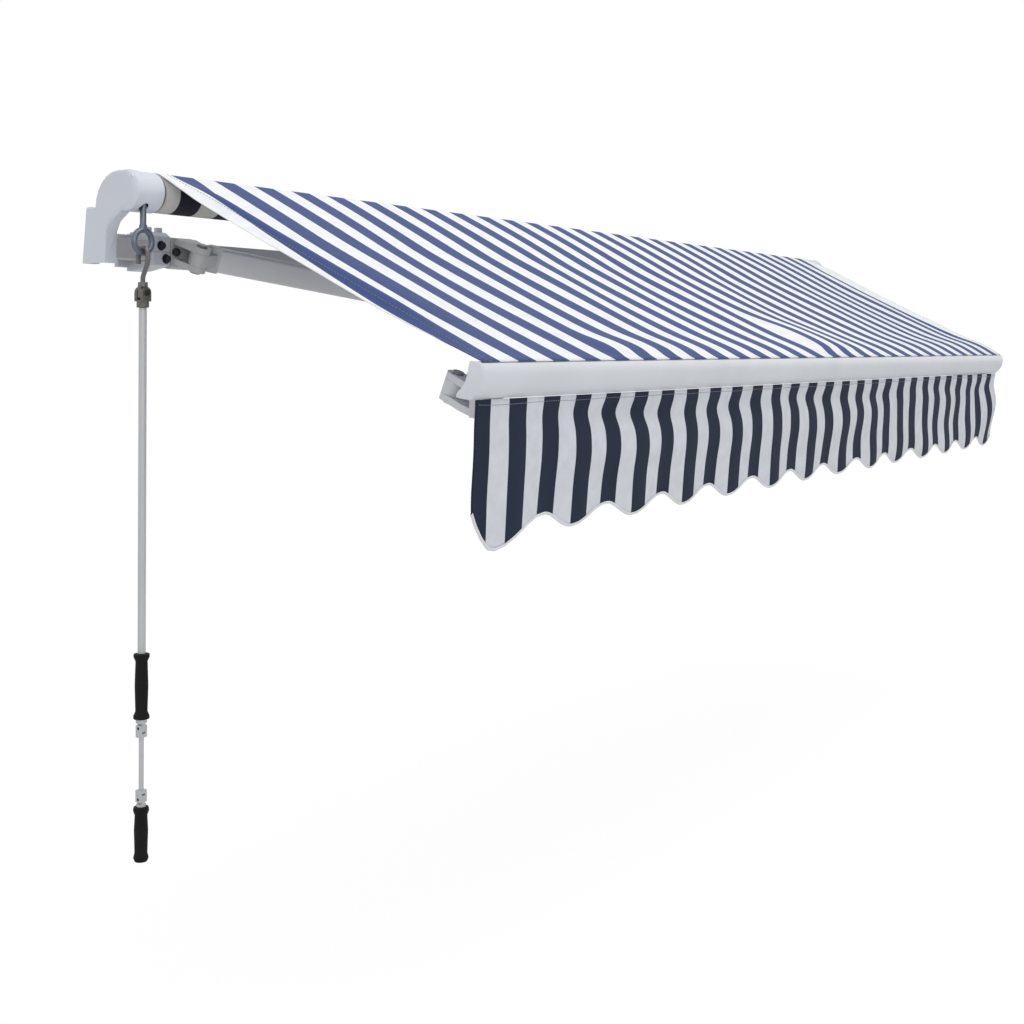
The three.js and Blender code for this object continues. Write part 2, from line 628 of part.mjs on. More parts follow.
addPair('front_pin', pinAt(wrist, ARM_H / 2));

// A sheet given by a grid of points on its middle surface and by unit normals
function sheet(nu, nv, at, thickness) {
  const top = [];
  const low = [];
  for (let i = 0; i <= nu; i++) {
    for (let j = 0; j <= nv; j++) {
      const { p, n } = at(i / nu, j / nv);
      top.push(p.clone().addScaledVector(n, thickness / 2));
      low.push(p.clone().addScaledVector(n, -thickness / 2));
    }
  }
  const count = top.length;
  const points = [...top, ...low].flatMap((v) => [v.x, v.y, v.z]);
  const id = (i, j) => i * (nv + 1) + j;
  const index = [];
  const quad = (a, b, c, d) => index.push(a, b, c, a, c, d);
  for (let i = 0; i < nu; i++) {
    for (let j = 0; j < nv; j++) {
      quad(id(i, j), id(i + 1, j), id(i + 1, j + 1), id(i, j + 1));
      quad(count + id(i, j), count + id(i, j + 1), count + id(i + 1, j + 1), count + id(i + 1, j));
    }
  }
  for (let i = 0; i < nu; i++) {
    quad(id(i, 0), count + id(i, 0), count + id(i + 1, 0), id(i + 1, 0));
    quad(id(i, nv), id(i + 1, nv), count + id(i + 1, nv), count + id(i, nv));
  }
  for (let j = 0; j < nv; j++) {
    quad(id(0, j), id(0, j + 1), count + id(0, j + 1), count + id(0, j));
    quad(id(nu, j), count + id(nu, j), count + id(nu, j + 1), id(nu, j + 1));
  }
  const g = new THREE.BufferGeometry();
  g.setAttribute('position', new THREE.Float32BufferAttribute(points, 3));
  g.setIndex(index);
  if (volume(g) < 0) flipFaces(g);
  return toSolid(g);
}

// Canopy: from the top of the cloth roll to the top of the front bar, with a slight sag
const canopyEnd = new THREE.Vector3(0, faceY + 6, FRONT_TOP + 2.2);
const fromAxis = Math.hypot(canopyEnd.y - ROLLER_Y, canopyEnd.z - ROLLER_Z);
const canopyR = ROLL_R + 2 * GAP + CANOPY_T / 2;
const drop = Math.atan2(ROLLER_Z - canopyEnd.z, ROLLER_Y - canopyEnd.y);
const meet = Math.PI / 2 + drop - Math.asin(canopyR / fromAxis);
const canopyStart = new THREE.Vector3(
  0, ROLLER_Y + canopyR * Math.cos(meet), ROLLER_Z + canopyR * Math.sin(meet));
add('canopy', sheet(4, 16, (s, t) => {
  const wrap = 0.12;
  const reach = Math.max(0, (t - wrap) / (1 - wrap));
  const x = (2 * s - 1) * (CLOTH_HALF + (CLOTH_FRONT - CLOTH_HALF) * reach);
  let p;
  let n;
  const run = canopyEnd.clone().sub(canopyStart);
  const flat = new THREE.Vector3(0, run.z, -run.y).normalize();
  if (t < wrap) {
    const a = meet - (1 - t / wrap) * 0.42;
    n = new THREE.Vector3(0, Math.cos(a), Math.sin(a));
    p = new THREE.Vector3(x, ROLLER_Y, ROLLER_Z).addScaledVector(n, canopyR);
  } else {
    const k = (t - wrap) / (1 - wrap);
    p = canopyStart.clone().addScaledVector(run, k);
    p.z -= CANOPY_SAG * 4 * k * (1 - k) * (1 - 0.4 * (2 * s - 1) ** 2) * Math.min(1, k * 3);
    n = flat;
  }
  p.x = x;
  return { p, n };
}, CANOPY_T));

// Valance: hangs from the front bar, with soft folds and a scalloped hem
const valanceY = (x, k) => VAL_Y + k * (4.5 * Math.sin((x / STRIPE) * Math.PI * 1.02 + 0.6)
  + 2.5 * Math.sin((x / STRIPE) * Math.PI * 0.37 + 2));
add('valance', sheet(112, 3, (s, t) => {
  const x = VAL_X0 + (VAL_X1 - VAL_X0) * s;
  const lobe = x < NOTCH_X + STRIPE ? 0 : 0.5 + 0.5 * Math.cos(((x - NOTCH_X) / STRIPE) * Math.PI);
  const first = Math.min(1, Math.abs(x - NOTCH_X - 80) / 120);
  const corner = Math.max(0, 1 - (x - VAL_X0) / VAL_CORNER);
  const bottom = VAL_LOW + VAL_NOTCH * lobe - 7 * (1 + Math.cos(first * Math.PI))
    + VAL_CORNER * 0.8 * (1 - Math.sqrt(1 - corner ** 2));
  const z = VAL_TOP + (bottom - VAL_TOP) * t;
  const k = (z - VAL_TOP) / (VAL_LOW - VAL_TOP);
  return { p: new THREE.Vector3(x, valanceY(x, k), z), n: new THREE.Vector3(0, 1, 0) };
}, VAL_T));

// Crank: hook in the eye, knuckle, long rod with a turning grip, folding arm with a second grip
const ringLow = EYE_Z - EYE_R;
const bend = 10.6;
const hookWire = 4;
const bendZ = ringLow - (bend - hookWire - EYE_WIRE - GAP);
const hookY = WORM_Y;
const hookPath = [[WORM_X, hookY + bend, bendZ - 16]];
for (let i = 0; i <= 8; i++) {
  const a = (i / 8) * Math.PI;
  hookPath.push([WORM_X, hookY + bend * Math.cos(a), bendZ + bend * Math.sin(a)]);
}
hookPath.push([WORM_X, hookY - bend, bendZ - 14], [WORM_X, hookY - bend * 0.4, bendZ - 28],
  [WORM_X, hookY, bendZ - 38], [WORM_X, hookY, KNUCKLE_Z + 15]);
const knuckleTop = KNUCKLE_Z + 14;
add('crank_hook', cut(
  join(wire(hookPath, hookWire, 8, 28),
    rod([WORM_X, hookY, knuckleTop + 3], [WORM_X, hookY, knuckleTop - 4], 8, 20),
    box(WORM_X - 8, WORM_X + 8, hookY - 3.5, hookY + 3.5, KNUCKLE_Z - 8, knuckleTop - 3)),
  rod([WORM_X, hookY - 20, KNUCKLE_Z], [WORM_X, hookY + 20, KNUCKLE_Z], 3.3, 16)));
const cheek = (y0, y1) => join(
  slab([...arc(WORM_X, KNUCKLE_Z, 9.5, 0, 180, 12), [WORM_X - 9.5, KNUCKLE_Z - 14],
    [WORM_X + 9.5, KNUCKLE_Z - 14]], -y1, -y0, new THREE.Matrix4().makeBasis(
    new THREE.Vector3(1, 0, 0), new THREE.Vector3(0, 0, 1), new THREE.Vector3(0, -1, 0))));
add('knuckle', cut(
  join(cheek(hookY - 9.5, hookY - 3.5 - GAP), cheek(hookY + 3.5 + GAP, hookY + 9.5),
    rod([WORM_X, hookY, KNUCKLE_Z - 12], [WORM_X, hookY, KNUCKLE_Z - 24], 10, 24)),
  rod([WORM_X, hookY - 20, KNUCKLE_Z], [WORM_X, hookY + 20, KNUCKLE_Z], 3.3, 16)));
add('knuckle_pin', turned([
  [0, 0], [5, 0], [5, 2], [3, 2], [3, 23.5], [5, 23.5], [5, 25.5], [0, 25.5],
], [WORM_X, hookY - 12.75, KNUCKLE_Z], [0, 1, 0], 16));
const rodTop = KNUCKLE_Z - 24 - GAP;
const foldTop = GRIP_END - 12;
const foldLow = ARM_END - 2;
const eyeHole = (z) => rod([WORM_X - 20, hookY, z], [WORM_X + 20, hookY, z], 2.3, 14);
add('crank_rod', cut(join(
  rod([WORM_X, hookY, rodTop], [WORM_X, hookY, ROD_END - 0.5], ROD_R, 20),
  rod([WORM_X, hookY, ROD_END], [WORM_X, hookY, GRIP_END - 1], 5, 20),
  rod([WORM_X, hookY, GRIP_END + 2.7], [WORM_X, hookY, GRIP_END - 4], 9, 20),
  box(WORM_X - 3, WORM_X + 3, hookY - 6, hookY + 6, GRIP_END - 18, GRIP_END - 3)), eyeHole(foldTop)));
const gripAt = (z0, z1, bore, r) => turned([
  [bore, z0], [r, z0], [r, z0 - 5], [r - 3.2, z0 - 12], [r - 2, (z0 + z1) / 2], [r - 3.2, z1 + 12],
  [r, z1 + 5], [r, z1], [bore, z1], [bore, z0],
], [WORM_X, hookY, 0], [0, 0, 1], 18);
add('upper_grip', gripAt(ROD_END - 0.8, GRIP_END + 3, 5.3, 13));
function forkEnd(z, up) {
  const s = up ? 1 : -1;
  return join(
    box(WORM_X + 3 + GAP, WORM_X + 7, hookY - 6, hookY + 6, z + 4.6 * s, z - 14 * s),
    box(WORM_X - 7, WORM_X - 3 - GAP, hookY - 6, hookY + 6, z + 4.6 * s, z - 14 * s),
    box(WORM_X - 7, WORM_X + 7, hookY - 6, hookY + 6, z - 9 * s, z - 15 * s));
}
add('crank_arm', cut(
  join(forkEnd(foldTop, true), rod([WORM_X, hookY, foldTop - 14], [WORM_X, hookY, foldLow + 14], 4, 16),
    forkEnd(foldLow, false)),
  eyeHole(foldTop), eyeHole(foldLow)));
const foldPin = (z) => rod([WORM_X - 7.6, hookY, z], [WORM_X + 7.6, hookY, z], 2, 14);
add('fold_pin_top', foldPin(foldTop));
add('fold_pin_low', foldPin(foldLow));
add('grip_spindle', cut(join(
  box(WORM_X - 3, WORM_X + 3, hookY - 6, hookY + 6, foldLow + 6, foldLow - 12),
  rod([WORM_X, hookY, foldLow - 8], [WORM_X, hookY, foldLow - 12], 8, 20),
  rod([WORM_X, hookY, foldLow - 11], [WORM_X, hookY, CRANK_END + 6], 4, 16),
), eyeHole(foldLow)));
add('lower_grip', turned([
  [4.3, foldLow - 12 - GAP], [12, foldLow - 12 - GAP], [13, foldLow - 18], [10.2, foldLow - 26],
  [11.4, (foldLow + CRANK_END) / 2], [10.4, CRANK_END + 14], [12.4, CRANK_END + 6],
  [10, CRANK_END], [0, CRANK_END], [0, CRANK_END + 5.7], [4.3, CRANK_END + 5.7],
  [4.3, foldLow - 12 - GAP],
], [WORM_X, hookY, 0], [0, 0, 1], 18));

// Looks
const looks = {
  bar: { color: 0x9c9da3, roughness: 0.5, metalness: 0.35 },
  cover: { color: 0xc6cad8, roughness: 0.5, metalness: 0.0 },
  casting: { color: 0x96979c, roughness: 0.55, metalness: 0.3 },
  arm: { color: 0x97989d, roughness: 0.45, metalness: 0.35 },
  front: { color: 0xc9cdd6, roughness: 0.4, metalness: 0.15 },
  steel: { color: 0x7f858a, roughness: 0.4, metalness: 0.8 },
  bolt: { color: 0x33383c, roughness: 0.45, metalness: 0.7 },
  cloth: { color: 0xf0f2f5, roughness: 0.9, metalness: 0.0 },
  rod: { color: 0xb9c0bf, roughness: 0.4, metalness: 0.4 },
  grip: { color: 0x242725, roughness: 0.55, metalness: 0.0 },
};

// Assembly: nested groups, each placed by position and rotation; a piece is set in its own group
const group = new THREE.Group();
const turnOf = (u, v, w) => new THREE.Quaternion().setFromRotationMatrix(
  new THREE.Matrix4().makeBasis(u, v, w));
const mirrorX = (v) => new THREE.Vector3(-v.x, v.y, v.z);

function branch(parent, at, turn) {
  const g = new THREE.Group();
  parent.updateWorldMatrix(true, false);
  const back = parent.matrixWorld.clone().invert();
  g.position.copy(at).applyMatrix4(back);
  const q = new THREE.Quaternion().setFromRotationMatrix(back);
  g.quaternion.copy(q.multiply(turn || new THREE.Quaternion()));
  parent.add(g);
  g.updateWorldMatrix(true, false);
  return g;
}

function settle(parent, look, names) {
  for (const name of names) {
    const geometry = toGeometry(solids.get(name));
    geometry.applyMatrix4(parent.matrixWorld.clone().invert());
    geometry.computeBoundingBox();
    const middle = geometry.boundingBox.getCenter(new THREE.Vector3());
    geometry.translate(-middle.x, -middle.y, -middle.z);
    const mesh = new THREE.Mesh(geometry, new THREE.MeshStandardMaterial(looks[look]));
    mesh.name = name;
    mesh.position.copy(middle);
    parent.add(mesh);
  }
}

const plain = new THREE.Quaternion();
const wallFrame = branch(group, new THREE.Vector3(0, BAR_Y, 0), plain);
settle(wallFrame, 'bar', ['torsion_bar']);
settle(wallFrame, 'casting', ['wall_bracket_l', 'wall_bracket_r', 'bracket_keeper_l', 'bracket_keeper_r',
  'shoulder_base_l', 'shoulder_base_r']);
settle(wallFrame, 'steel', ['roller_arm_l', 'roller_arm_r', 'shoulder_pin_l', 'shoulder_pin_r']);
settle(wallFrame, 'bolt', ['tilt_bolt_l', 'tilt_bolt_r', 'gear_housing']);
settle(wallFrame, 'cover', ['end_cover_l', 'end_cover_r']);
const roller = branch(wallFrame, new THREE.Vector3(0, ROLLER_Y, ROLLER_Z), plain);
settle(roller, 'steel', ['roller_tube', 'gear_wheel']);
settle(roller, 'casting', ['roller_plug_l', 'roller_plug_r']);
settle(roller, 'cloth', ['cloth_roll']);
settle(branch(wallFrame, canopyStart, plain), 'cloth', ['canopy']);

const turnUpper = turnOf(link1, off1, upward);
const turnFore = turnOf(link2, off2, upward);
const upperLeft = branch(wallFrame, shoulder, turnUpper);
settle(upperLeft, 'arm', ['upper_tube_l']);
settle(upperLeft, 'casting', ['upper_root_l', 'upper_elbow_l']);
settle(upperLeft, 'steel', ['elbow_pin_l']);
const foreLeft = branch(upperLeft, elbow, turnFore);
settle(foreLeft, 'arm', ['fore_tube_l']);
settle(foreLeft, 'casting', ['fore_elbow_l', 'fore_front_l']);

const turnBack = (q) => new THREE.Quaternion(q.x, -q.y, -q.z, q.w);
const upperRight = branch(wallFrame, mirrorX(shoulder), turnBack(turnUpper));
settle(upperRight, 'arm', ['upper_tube_r']);
settle(upperRight, 'casting', ['upper_root_r', 'upper_elbow_r']);
settle(upperRight, 'steel', ['elbow_pin_r']);
const foreRight = branch(upperRight, mirrorX(elbow), turnBack(turnFore));
settle(foreRight, 'arm', ['fore_tube_r']);
settle(foreRight, 'casting', ['fore_elbow_r', 'fore_front_r']);

const front = branch(foreLeft, new THREE.Vector3(0, FRONT_FACE, FRONT_TOP), plain);
settle(front, 'front', ['front_bar', 'front_cap_l', 'front_cap_r']);
settle(front, 'casting', ['front_bracket_l', 'front_bracket_r']);
settle(front, 'steel', ['front_pin_l', 'front_pin_r']);
settle(front, 'cloth', ['valance']);

const gear = branch(wallFrame, new THREE.Vector3(WORM_X, WORM_Y, EYE_Z), plain);
settle(gear, 'steel', ['worm_eye']);
const crankTop = branch(gear, new THREE.Vector3(WORM_X, WORM_Y, EYE_Z - EYE_R), plain);
settle(crankTop, 'steel', ['crank_hook', 'knuckle_pin']);
const crankRod = branch(crankTop, new THREE.Vector3(WORM_X, WORM_Y, KNUCKLE_Z), plain);
settle(crankRod, 'casting', ['knuckle']);
settle(crankRod, 'rod', ['crank_rod', 'fold_pin_top']);
settle(crankRod, 'grip', ['upper_grip']);
const crankArm = branch(crankRod, new THREE.Vector3(WORM_X, WORM_Y, foldTop), plain);
settle(crankArm, 'rod', ['crank_arm', 'fold_pin_low']);
const crankEnd = branch(crankArm, new THREE.Vector3(WORM_X, WORM_Y, foldLow), plain);
settle(crankEnd, 'steel', ['grip_spindle']);
settle(crankEnd, 'grip', ['lower_grip']);

export default group;
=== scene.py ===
import json
import math

import bmesh
import bpy
from mathutils import Matrix, Vector

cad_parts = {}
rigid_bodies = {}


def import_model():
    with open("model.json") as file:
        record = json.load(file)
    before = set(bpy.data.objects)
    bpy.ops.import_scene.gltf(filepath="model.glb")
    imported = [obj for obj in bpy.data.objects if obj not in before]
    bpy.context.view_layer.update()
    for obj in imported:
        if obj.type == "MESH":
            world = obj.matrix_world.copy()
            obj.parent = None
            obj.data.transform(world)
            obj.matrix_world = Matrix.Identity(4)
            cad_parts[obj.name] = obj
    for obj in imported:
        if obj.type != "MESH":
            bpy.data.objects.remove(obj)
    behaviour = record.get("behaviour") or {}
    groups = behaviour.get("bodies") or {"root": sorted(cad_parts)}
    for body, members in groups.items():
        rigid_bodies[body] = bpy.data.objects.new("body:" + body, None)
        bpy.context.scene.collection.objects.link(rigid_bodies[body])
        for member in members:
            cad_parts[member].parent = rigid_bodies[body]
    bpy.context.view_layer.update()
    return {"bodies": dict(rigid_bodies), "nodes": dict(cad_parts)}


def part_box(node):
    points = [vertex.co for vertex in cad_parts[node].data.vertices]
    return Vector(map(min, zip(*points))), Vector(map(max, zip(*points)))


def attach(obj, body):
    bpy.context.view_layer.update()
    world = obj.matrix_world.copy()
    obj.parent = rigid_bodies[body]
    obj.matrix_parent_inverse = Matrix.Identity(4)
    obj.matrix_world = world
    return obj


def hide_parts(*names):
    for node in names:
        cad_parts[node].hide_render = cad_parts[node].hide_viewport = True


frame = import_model()
scene = bpy.context.scene
scene.view_settings.view_transform = "Standard"

# Studio: pale floor below the crank, even white surroundings and one large soft lamp overhead.
# The overhead lamp lights the cloth's top; the hanging valance gets less of it, and its cloth colour is
# also painted darker as painted shade.
floor_z = -1.25
floor_half = 30
floor_glow = 1.1
floor_glow_share = 0.8
light_on_part = 0.66
light_in_view = 1.0
floor_mesh = bpy.data.meshes.new("studio_floor")
floor_mesh.from_pydata([(x * floor_half, y * floor_half, floor_z)
                        for x, y in ((-1, -1), (1, -1), (1, 1), (-1, 1))], [], [(0, 1, 2, 3)])
studio_floor = bpy.data.objects.new("studio_floor", floor_mesh)
scene.collection.objects.link(studio_floor)
floor_paint = bpy.data.materials.new("studio_floor")
floor_paint.use_nodes = True
tree = floor_paint.node_tree
tree.nodes["Principled BSDF"].inputs["Base Color"].default_value = (0.86, 0.86, 0.86, 1)
tree.nodes["Principled BSDF"].inputs["Roughness"].default_value = 0.9
seen = tree.nodes.new("ShaderNodeLightPath")
glow = tree.nodes.new("ShaderNodeEmission")
glow.inputs["Strength"].default_value = floor_glow
share = tree.nodes.new("ShaderNodeMath")
share.operation = "MULTIPLY"
share.inputs[1].default_value = floor_glow_share
blend = tree.nodes.new("ShaderNodeMixShader")
tree.links.new(seen.outputs["Is Camera Ray"], share.inputs[0])
tree.links.new(share.outputs[0], blend.inputs["Fac"])
tree.links.new(tree.nodes["Principled BSDF"].outputs[0], blend.inputs[1])
tree.links.new(glow.outputs[0], blend.inputs[2])
tree.links.new(blend.outputs[0], tree.nodes["Material Output"].inputs["Surface"])
floor_mesh.materials.append(floor_paint)

world = bpy.data.worlds.new("studio")
scene.world = world
world.use_nodes = True
tree = world.node_tree
tree.nodes["Background"].inputs["Color"].default_value = (1, 1, 1, 1)
sees = tree.nodes.new("ShaderNodeLightPath")
either = tree.nodes.new("ShaderNodeMath")
either.operation = "MAXIMUM"
third = tree.nodes.new("ShaderNodeMath")
third.operation = "MAXIMUM"
level = tree.nodes.new("ShaderNodeMapRange")
level.inputs["To Min"].default_value = light_on_part
level.inputs["To Max"].default_value = light_in_view
tree.links.new(sees.outputs["Is Camera Ray"], either.inputs[0])
tree.links.new(sees.outputs["Is Glossy Ray"], either.inputs[1])
tree.links.new(either.outputs[0], third.inputs[0])
tree.links.new(sees.outputs["Is Transmission Ray"], third.inputs[1])
tree.links.new(third.outputs[0], level.inputs["Value"])
tree.links.new(level.outputs["Result"], tree.nodes["Background"].inputs["Strength"])


def soft_lamp(name, place, aim, size, power):
    data = bpy.data.lights.new(name, "AREA")
    data.shape = "RECTANGLE"
    data.size = size[0]
    data.size_y = size[1]
    data.energy = power
    lamp = bpy.data.objects.new(name, data)
    scene.collection.objects.link(lamp)
    lamp.matrix_world = (Matrix.Translation(place)
                         @ (Vector(aim) - Vector(place)).to_track_quat("-Z", "Y").to_matrix().to_4x4())


soft_lamp("overhead", (-0.6, -1.6, 3.4), (0.0, -0.5, -0.1), (4.0, 2.4), 58)
soft_lamp("front_left", (-3.6, -3.2, 1.0), (-0.4, -0.6, -0.2), (2.0, 2.0), 16)

# Camera: left of the awning and below the cloth's top edge, level, with the frame shifted down
# so that the whole crank shows.
look_yaw = math.radians(57.188)
look_roll = math.radians(0.2)
look_from = (-3.1832, -1.9347, -0.1576)
frame_px = 1024
focal_px = 1496
horizon_px = 345
sensor_mm = 36
lens_data = bpy.data.cameras.new("camera")
lens_data.sensor_width = sensor_mm
lens_data.lens = focal_px / frame_px * sensor_mm
lens_data.shift_y = (horizon_px - frame_px / 2) / frame_px
camera = bpy.data.objects.new("camera", lens_data)
scene.collection.objects.link(camera)
camera.matrix_world = (Matrix.Translation(look_from)
                       @ Matrix.Rotation(-look_yaw, 4, "Z") @ Matrix.Rotation(math.pi / 2, 4, "X")
                       @ Matrix.Rotation(look_roll, 4, "Z"))
scene.camera = camera

# Canvas: acrylic cloth woven in white and blue stripes of 50 mm, dyed in the yarn, so both faces
# show them. The pattern follows the cloth's own UV map, in metres across and along.
STRIPE = 0.100
FIRST_STRIPE = -1.375
YARN_EDGE = 0.0005
WEAVE_DEPTH = 0.0003


def new_group(name, ins, outs, tree_kind="ShaderNodeTree"):
    group = bpy.data.node_groups.new(name, tree_kind)
    for label, kind, value in ins:
        socket = group.interface.new_socket(name=label, in_out="INPUT", socket_type=kind)
        if value is not None:
            socket.default_value = value
    for label, kind in outs:
        group.interface.new_socket(name=label, in_out="OUTPUT", socket_type=kind)
    return group, group.nodes.new("NodeGroupInput"), group.nodes.new("NodeGroupOutput")


def sums(tree, operation, a, b=None):
    node = tree.nodes.new("ShaderNodeMath")
    node.operation = operation
    for k, value in enumerate((a, b)):
        if isinstance(value, (int, float)):
            node.inputs[k].default_value = value
        elif value is not None:
            tree.links.new(value, node.inputs[k])
    return node.outputs[0]


# Weave: over and under threads as a height, with the thread's own small changes of tone
weave, w_in, w_out = new_group(
    "canvas_weave",
    [("Place", "NodeSocketVector", None), ("Threads per metre", "NodeSocketFloat", 900.0)],
    [("Height", "NodeSocketFloat"), ("Tone", "NodeSocketFloat")])
parts = weave.nodes.new("ShaderNodeSeparateXYZ")
weave.links.new(w_in.outputs["Place"], parts.inputs[0])
turns = sums(weave, "MULTIPLY", w_in.outputs["Threads per metre"], math.pi)
warp = sums(weave, "SINE", sums(weave, "MULTIPLY", parts.outputs["X"], turns))
weft = sums(weave, "SINE", sums(weave, "MULTIPLY", parts.outputs["Y"], turns))
over = sums(weave, "MULTIPLY", warp, weft)
slub = weave.nodes.new("ShaderNodeTexNoise")
slub.inputs["Scale"].default_value = 38
slub.inputs["Detail"].default_value = 4
weave.links.new(w_in.outputs["Place"], slub.inputs["Vector"])
weave.links.new(over, w_out.inputs["Height"])
tone = weave.nodes.new("ShaderNodeMapRange")
tone.inputs["From Min"].default_value = 0.3
tone.inputs["From Max"].default_value = 0.7
tone.inputs["To Min"].default_value = 0.93
tone.inputs["To Max"].default_value = 1.04
weave.links.new(slub.outputs["Fac"], tone.inputs["Value"])
weave.links.new(tone.outputs["Result"], w_out.inputs["Tone"])

# Stripes: distance to the nearest blue stripe's middle line, with the yarn's edge a thread wide
stripes, s_in, s_out = new_group(
    "canvas_stripes",
    [("Place", "NodeSocketVector", None), ("First middle", "NodeSocketFloat", FIRST_STRIPE),
     ("Repeat", "NodeSocketFloat", STRIPE), ("Last edge", "NodeSocketFloat", -FIRST_STRIPE)],
    [("Blue", "NodeSocketFloat")])
parts = stripes.nodes.new("ShaderNodeSeparateXYZ")
stripes.links.new(s_in.outputs["Place"], parts.inputs[0])
from_first = sums(stripes, "SUBTRACT", parts.outputs["X"], s_in.outputs["First middle"])
off_middle = sums(stripes, "PINGPONG", from_first, sums(stripes, "MULTIPLY", s_in.outputs["Repeat"], 0.5))
edge = stripes.nodes.new("ShaderNodeMapRange")
edge.inputs["To Min"].default_value = 1.0
edge.inputs["To Max"].default_value = 0.0
quarter = sums(stripes, "MULTIPLY", s_in.outputs["Repeat"], 0.25)
stripes.links.new(off_middle, edge.inputs["Value"])
stripes.links.new(sums(stripes, "SUBTRACT", quarter, YARN_EDGE), edge.inputs["From Min"])
stripes.links.new(sums(stripes, "ADD", quarter, YARN_EDGE), edge.inputs["From Max"])
inside = sums(stripes, "LESS_THAN", parts.outputs["X"], s_in.outputs["Last edge"])
stripes.links.new(sums(stripes, "MULTIPLY", edge.outputs["Result"], inside), s_out.inputs["Blue"])


def grouped(tree, group, place):
    node = tree.nodes.new("ShaderNodeGroup")
    node.node_tree = group
    tree.links.new(place, node.inputs["Place"])
    return node


def tinted(tree, look, tone):
    """Multiplies the base colour by the tone, and returns the input that takes the colour."""
    toned = tree.nodes.new("ShaderNodeMix")
    toned.data_type = "RGBA"
    toned.blend_type = "MULTIPLY"
    toned.inputs["Factor"].default_value = 1.0
    tree.links.new(tone, toned.inputs["B"])
    tree.links.new(toned.outputs["Result"], look.inputs["Base Color"])
    return toned.inputs["A"]


def raised(tree, look, height, strength, depth):
    bump = tree.nodes.new("ShaderNodeBump")
    bump.inputs["Strength"].default_value = strength
    bump.inputs["Distance"].default_value = depth
    tree.links.new(height, bump.inputs["Height"])
    tree.links.new(bump.outputs["Normal"], look.inputs["Normal"])


def canvas(name, white, blue, sheen):
    cloth = bpy.data.materials.new(name)
    cloth.use_nodes = True
    tree = cloth.node_tree
    look = tree.nodes["Principled BSDF"]
    look.inputs["Roughness"].default_value = 0.85
    look.inputs["Sheen Weight"].default_value = sheen
    look.inputs["Specular IOR Level"].default_value = 0.25
    place = tree.nodes.new("ShaderNodeUVMap")
    place.uv_map = "cloth"
    woven = grouped(tree, weave, place.outputs["UV"])
    striped = grouped(tree, stripes, place.outputs["UV"])
    pick = tree.nodes.new("ShaderNodeMix")
    pick.data_type = "RGBA"
    pick.inputs["A"].default_value = white
    pick.inputs["B"].default_value = blue
    tree.links.new(striped.outputs["Blue"], pick.inputs["Factor"])
    tree.links.new(pick.outputs["Result"], tinted(tree, look, woven.outputs["Tone"]))
    raised(tree, look, woven.outputs["Height"], 0.35, WEAVE_DEPTH)
    return cloth


canopy_cloth = canvas("canopy_canvas", (0.91, 0.93, 0.95, 1), (0.046, 0.08, 0.23, 1), 0.1)
# The valance uses the same canvas with both stripes painted darker: painted shade for the cloth hanging
# under the bar.
valance_cloth_painted_shade = canvas("valance_canvas", (0.7, 0.73, 0.78, 1), (0.011, 0.018, 0.043, 1), 0.03)
# The wound cloth uses the same canvas painted much darker: painted shade for the roll under the canopy.
rolled_cloth_painted_shade = canvas("rolled_canvas", (0.55, 0.54, 0.52, 1), (0.012, 0.012, 0.022, 1), 0.05)


def thicken(piece, thick, offset=0):
    wall = piece.modifiers.new("thickness", "SOLIDIFY")
    wall.thickness = thick
    wall.offset = offset


def cloth_mesh(name, rows, uvs, material):
    """A grid of points, given row by row, as one smooth sheet with a UV map called cloth."""
    mesh = bpy.data.meshes.new(name)
    wide = len(rows[0])
    points = [p for row in rows for p in row]
    flat = [uv for row in uvs for uv in row]
    faces = []
    for i in range(len(rows) - 1):
        for j in range(wide - 1):
            a = i * wide + j
            faces.append((a, a + 1, a + 1 + wide, a + wide))
    mesh.from_pydata(points, [], faces)
    layer = mesh.uv_layers.new(name="cloth")
    for corner in mesh.loops:
        layer.data[corner.index].uv = flat[corner.vertex_index]
    mesh.materials.append(material)
    for face in mesh.polygons:
        face.use_smooth = True
    piece = bpy.data.objects.new(name, mesh)
    scene.collection.objects.link(piece)
    return piece


# Canopy: one sheet from the wound cloth down to the front bar. It sags a little across the middle,
# its sewn side hems ride up and dip behind themselves, and it ridges beside two seams near the bar.
ROLLER_Y = -0.100
ROLLER_Z = 0.090
ROLL_R = 0.0333
CLOTH_HALF = 1.430
CLOTH_FRONT = 1.396
BAR_FACE = -0.736
BAR_TOP = -0.184
END_Y = BAR_FACE + 0.004
END_Z = BAR_TOP + 0.0022
SAG = 0.009
CANOPY_THICK = 0.0011
WOUND_ANGLE = 0.42
STEADY = 0.022
# Crests and dips of the two side hems: height, distance from the cloth's edge and half width
LEFT_HEM = [(0.0100, 0.038, 0.020), (-0.0065, 0.082, 0.030), (-0.006, 0.0, 0.018)]
RIGHT_HEM = [(0.006, 0.03, 0.02), (-0.004, 0.08, 0.03)]

run = Vector((0, END_Y - ROLLER_Y, END_Z - ROLLER_Z))
drop = math.atan2(-run.z, -run.y)
meet = math.pi / 2 + drop - math.asin(ROLL_R / run.length)
start = Vector((0, ROLLER_Y + ROLL_R * math.cos(meet), ROLLER_Z + ROLL_R * math.sin(meet)))
run = Vector((0, END_Y, END_Z)) - start
above = Vector((0, run.z, -run.y)).normalized()
if above.z < 0:
    above.negate()


def bell(value, middle, half):
    d = (value - middle) / half
    return math.exp(-d * d)


def ease(value):
    value = min(1.0, max(0.0, value))
    return value * value * (3 - 2 * value)


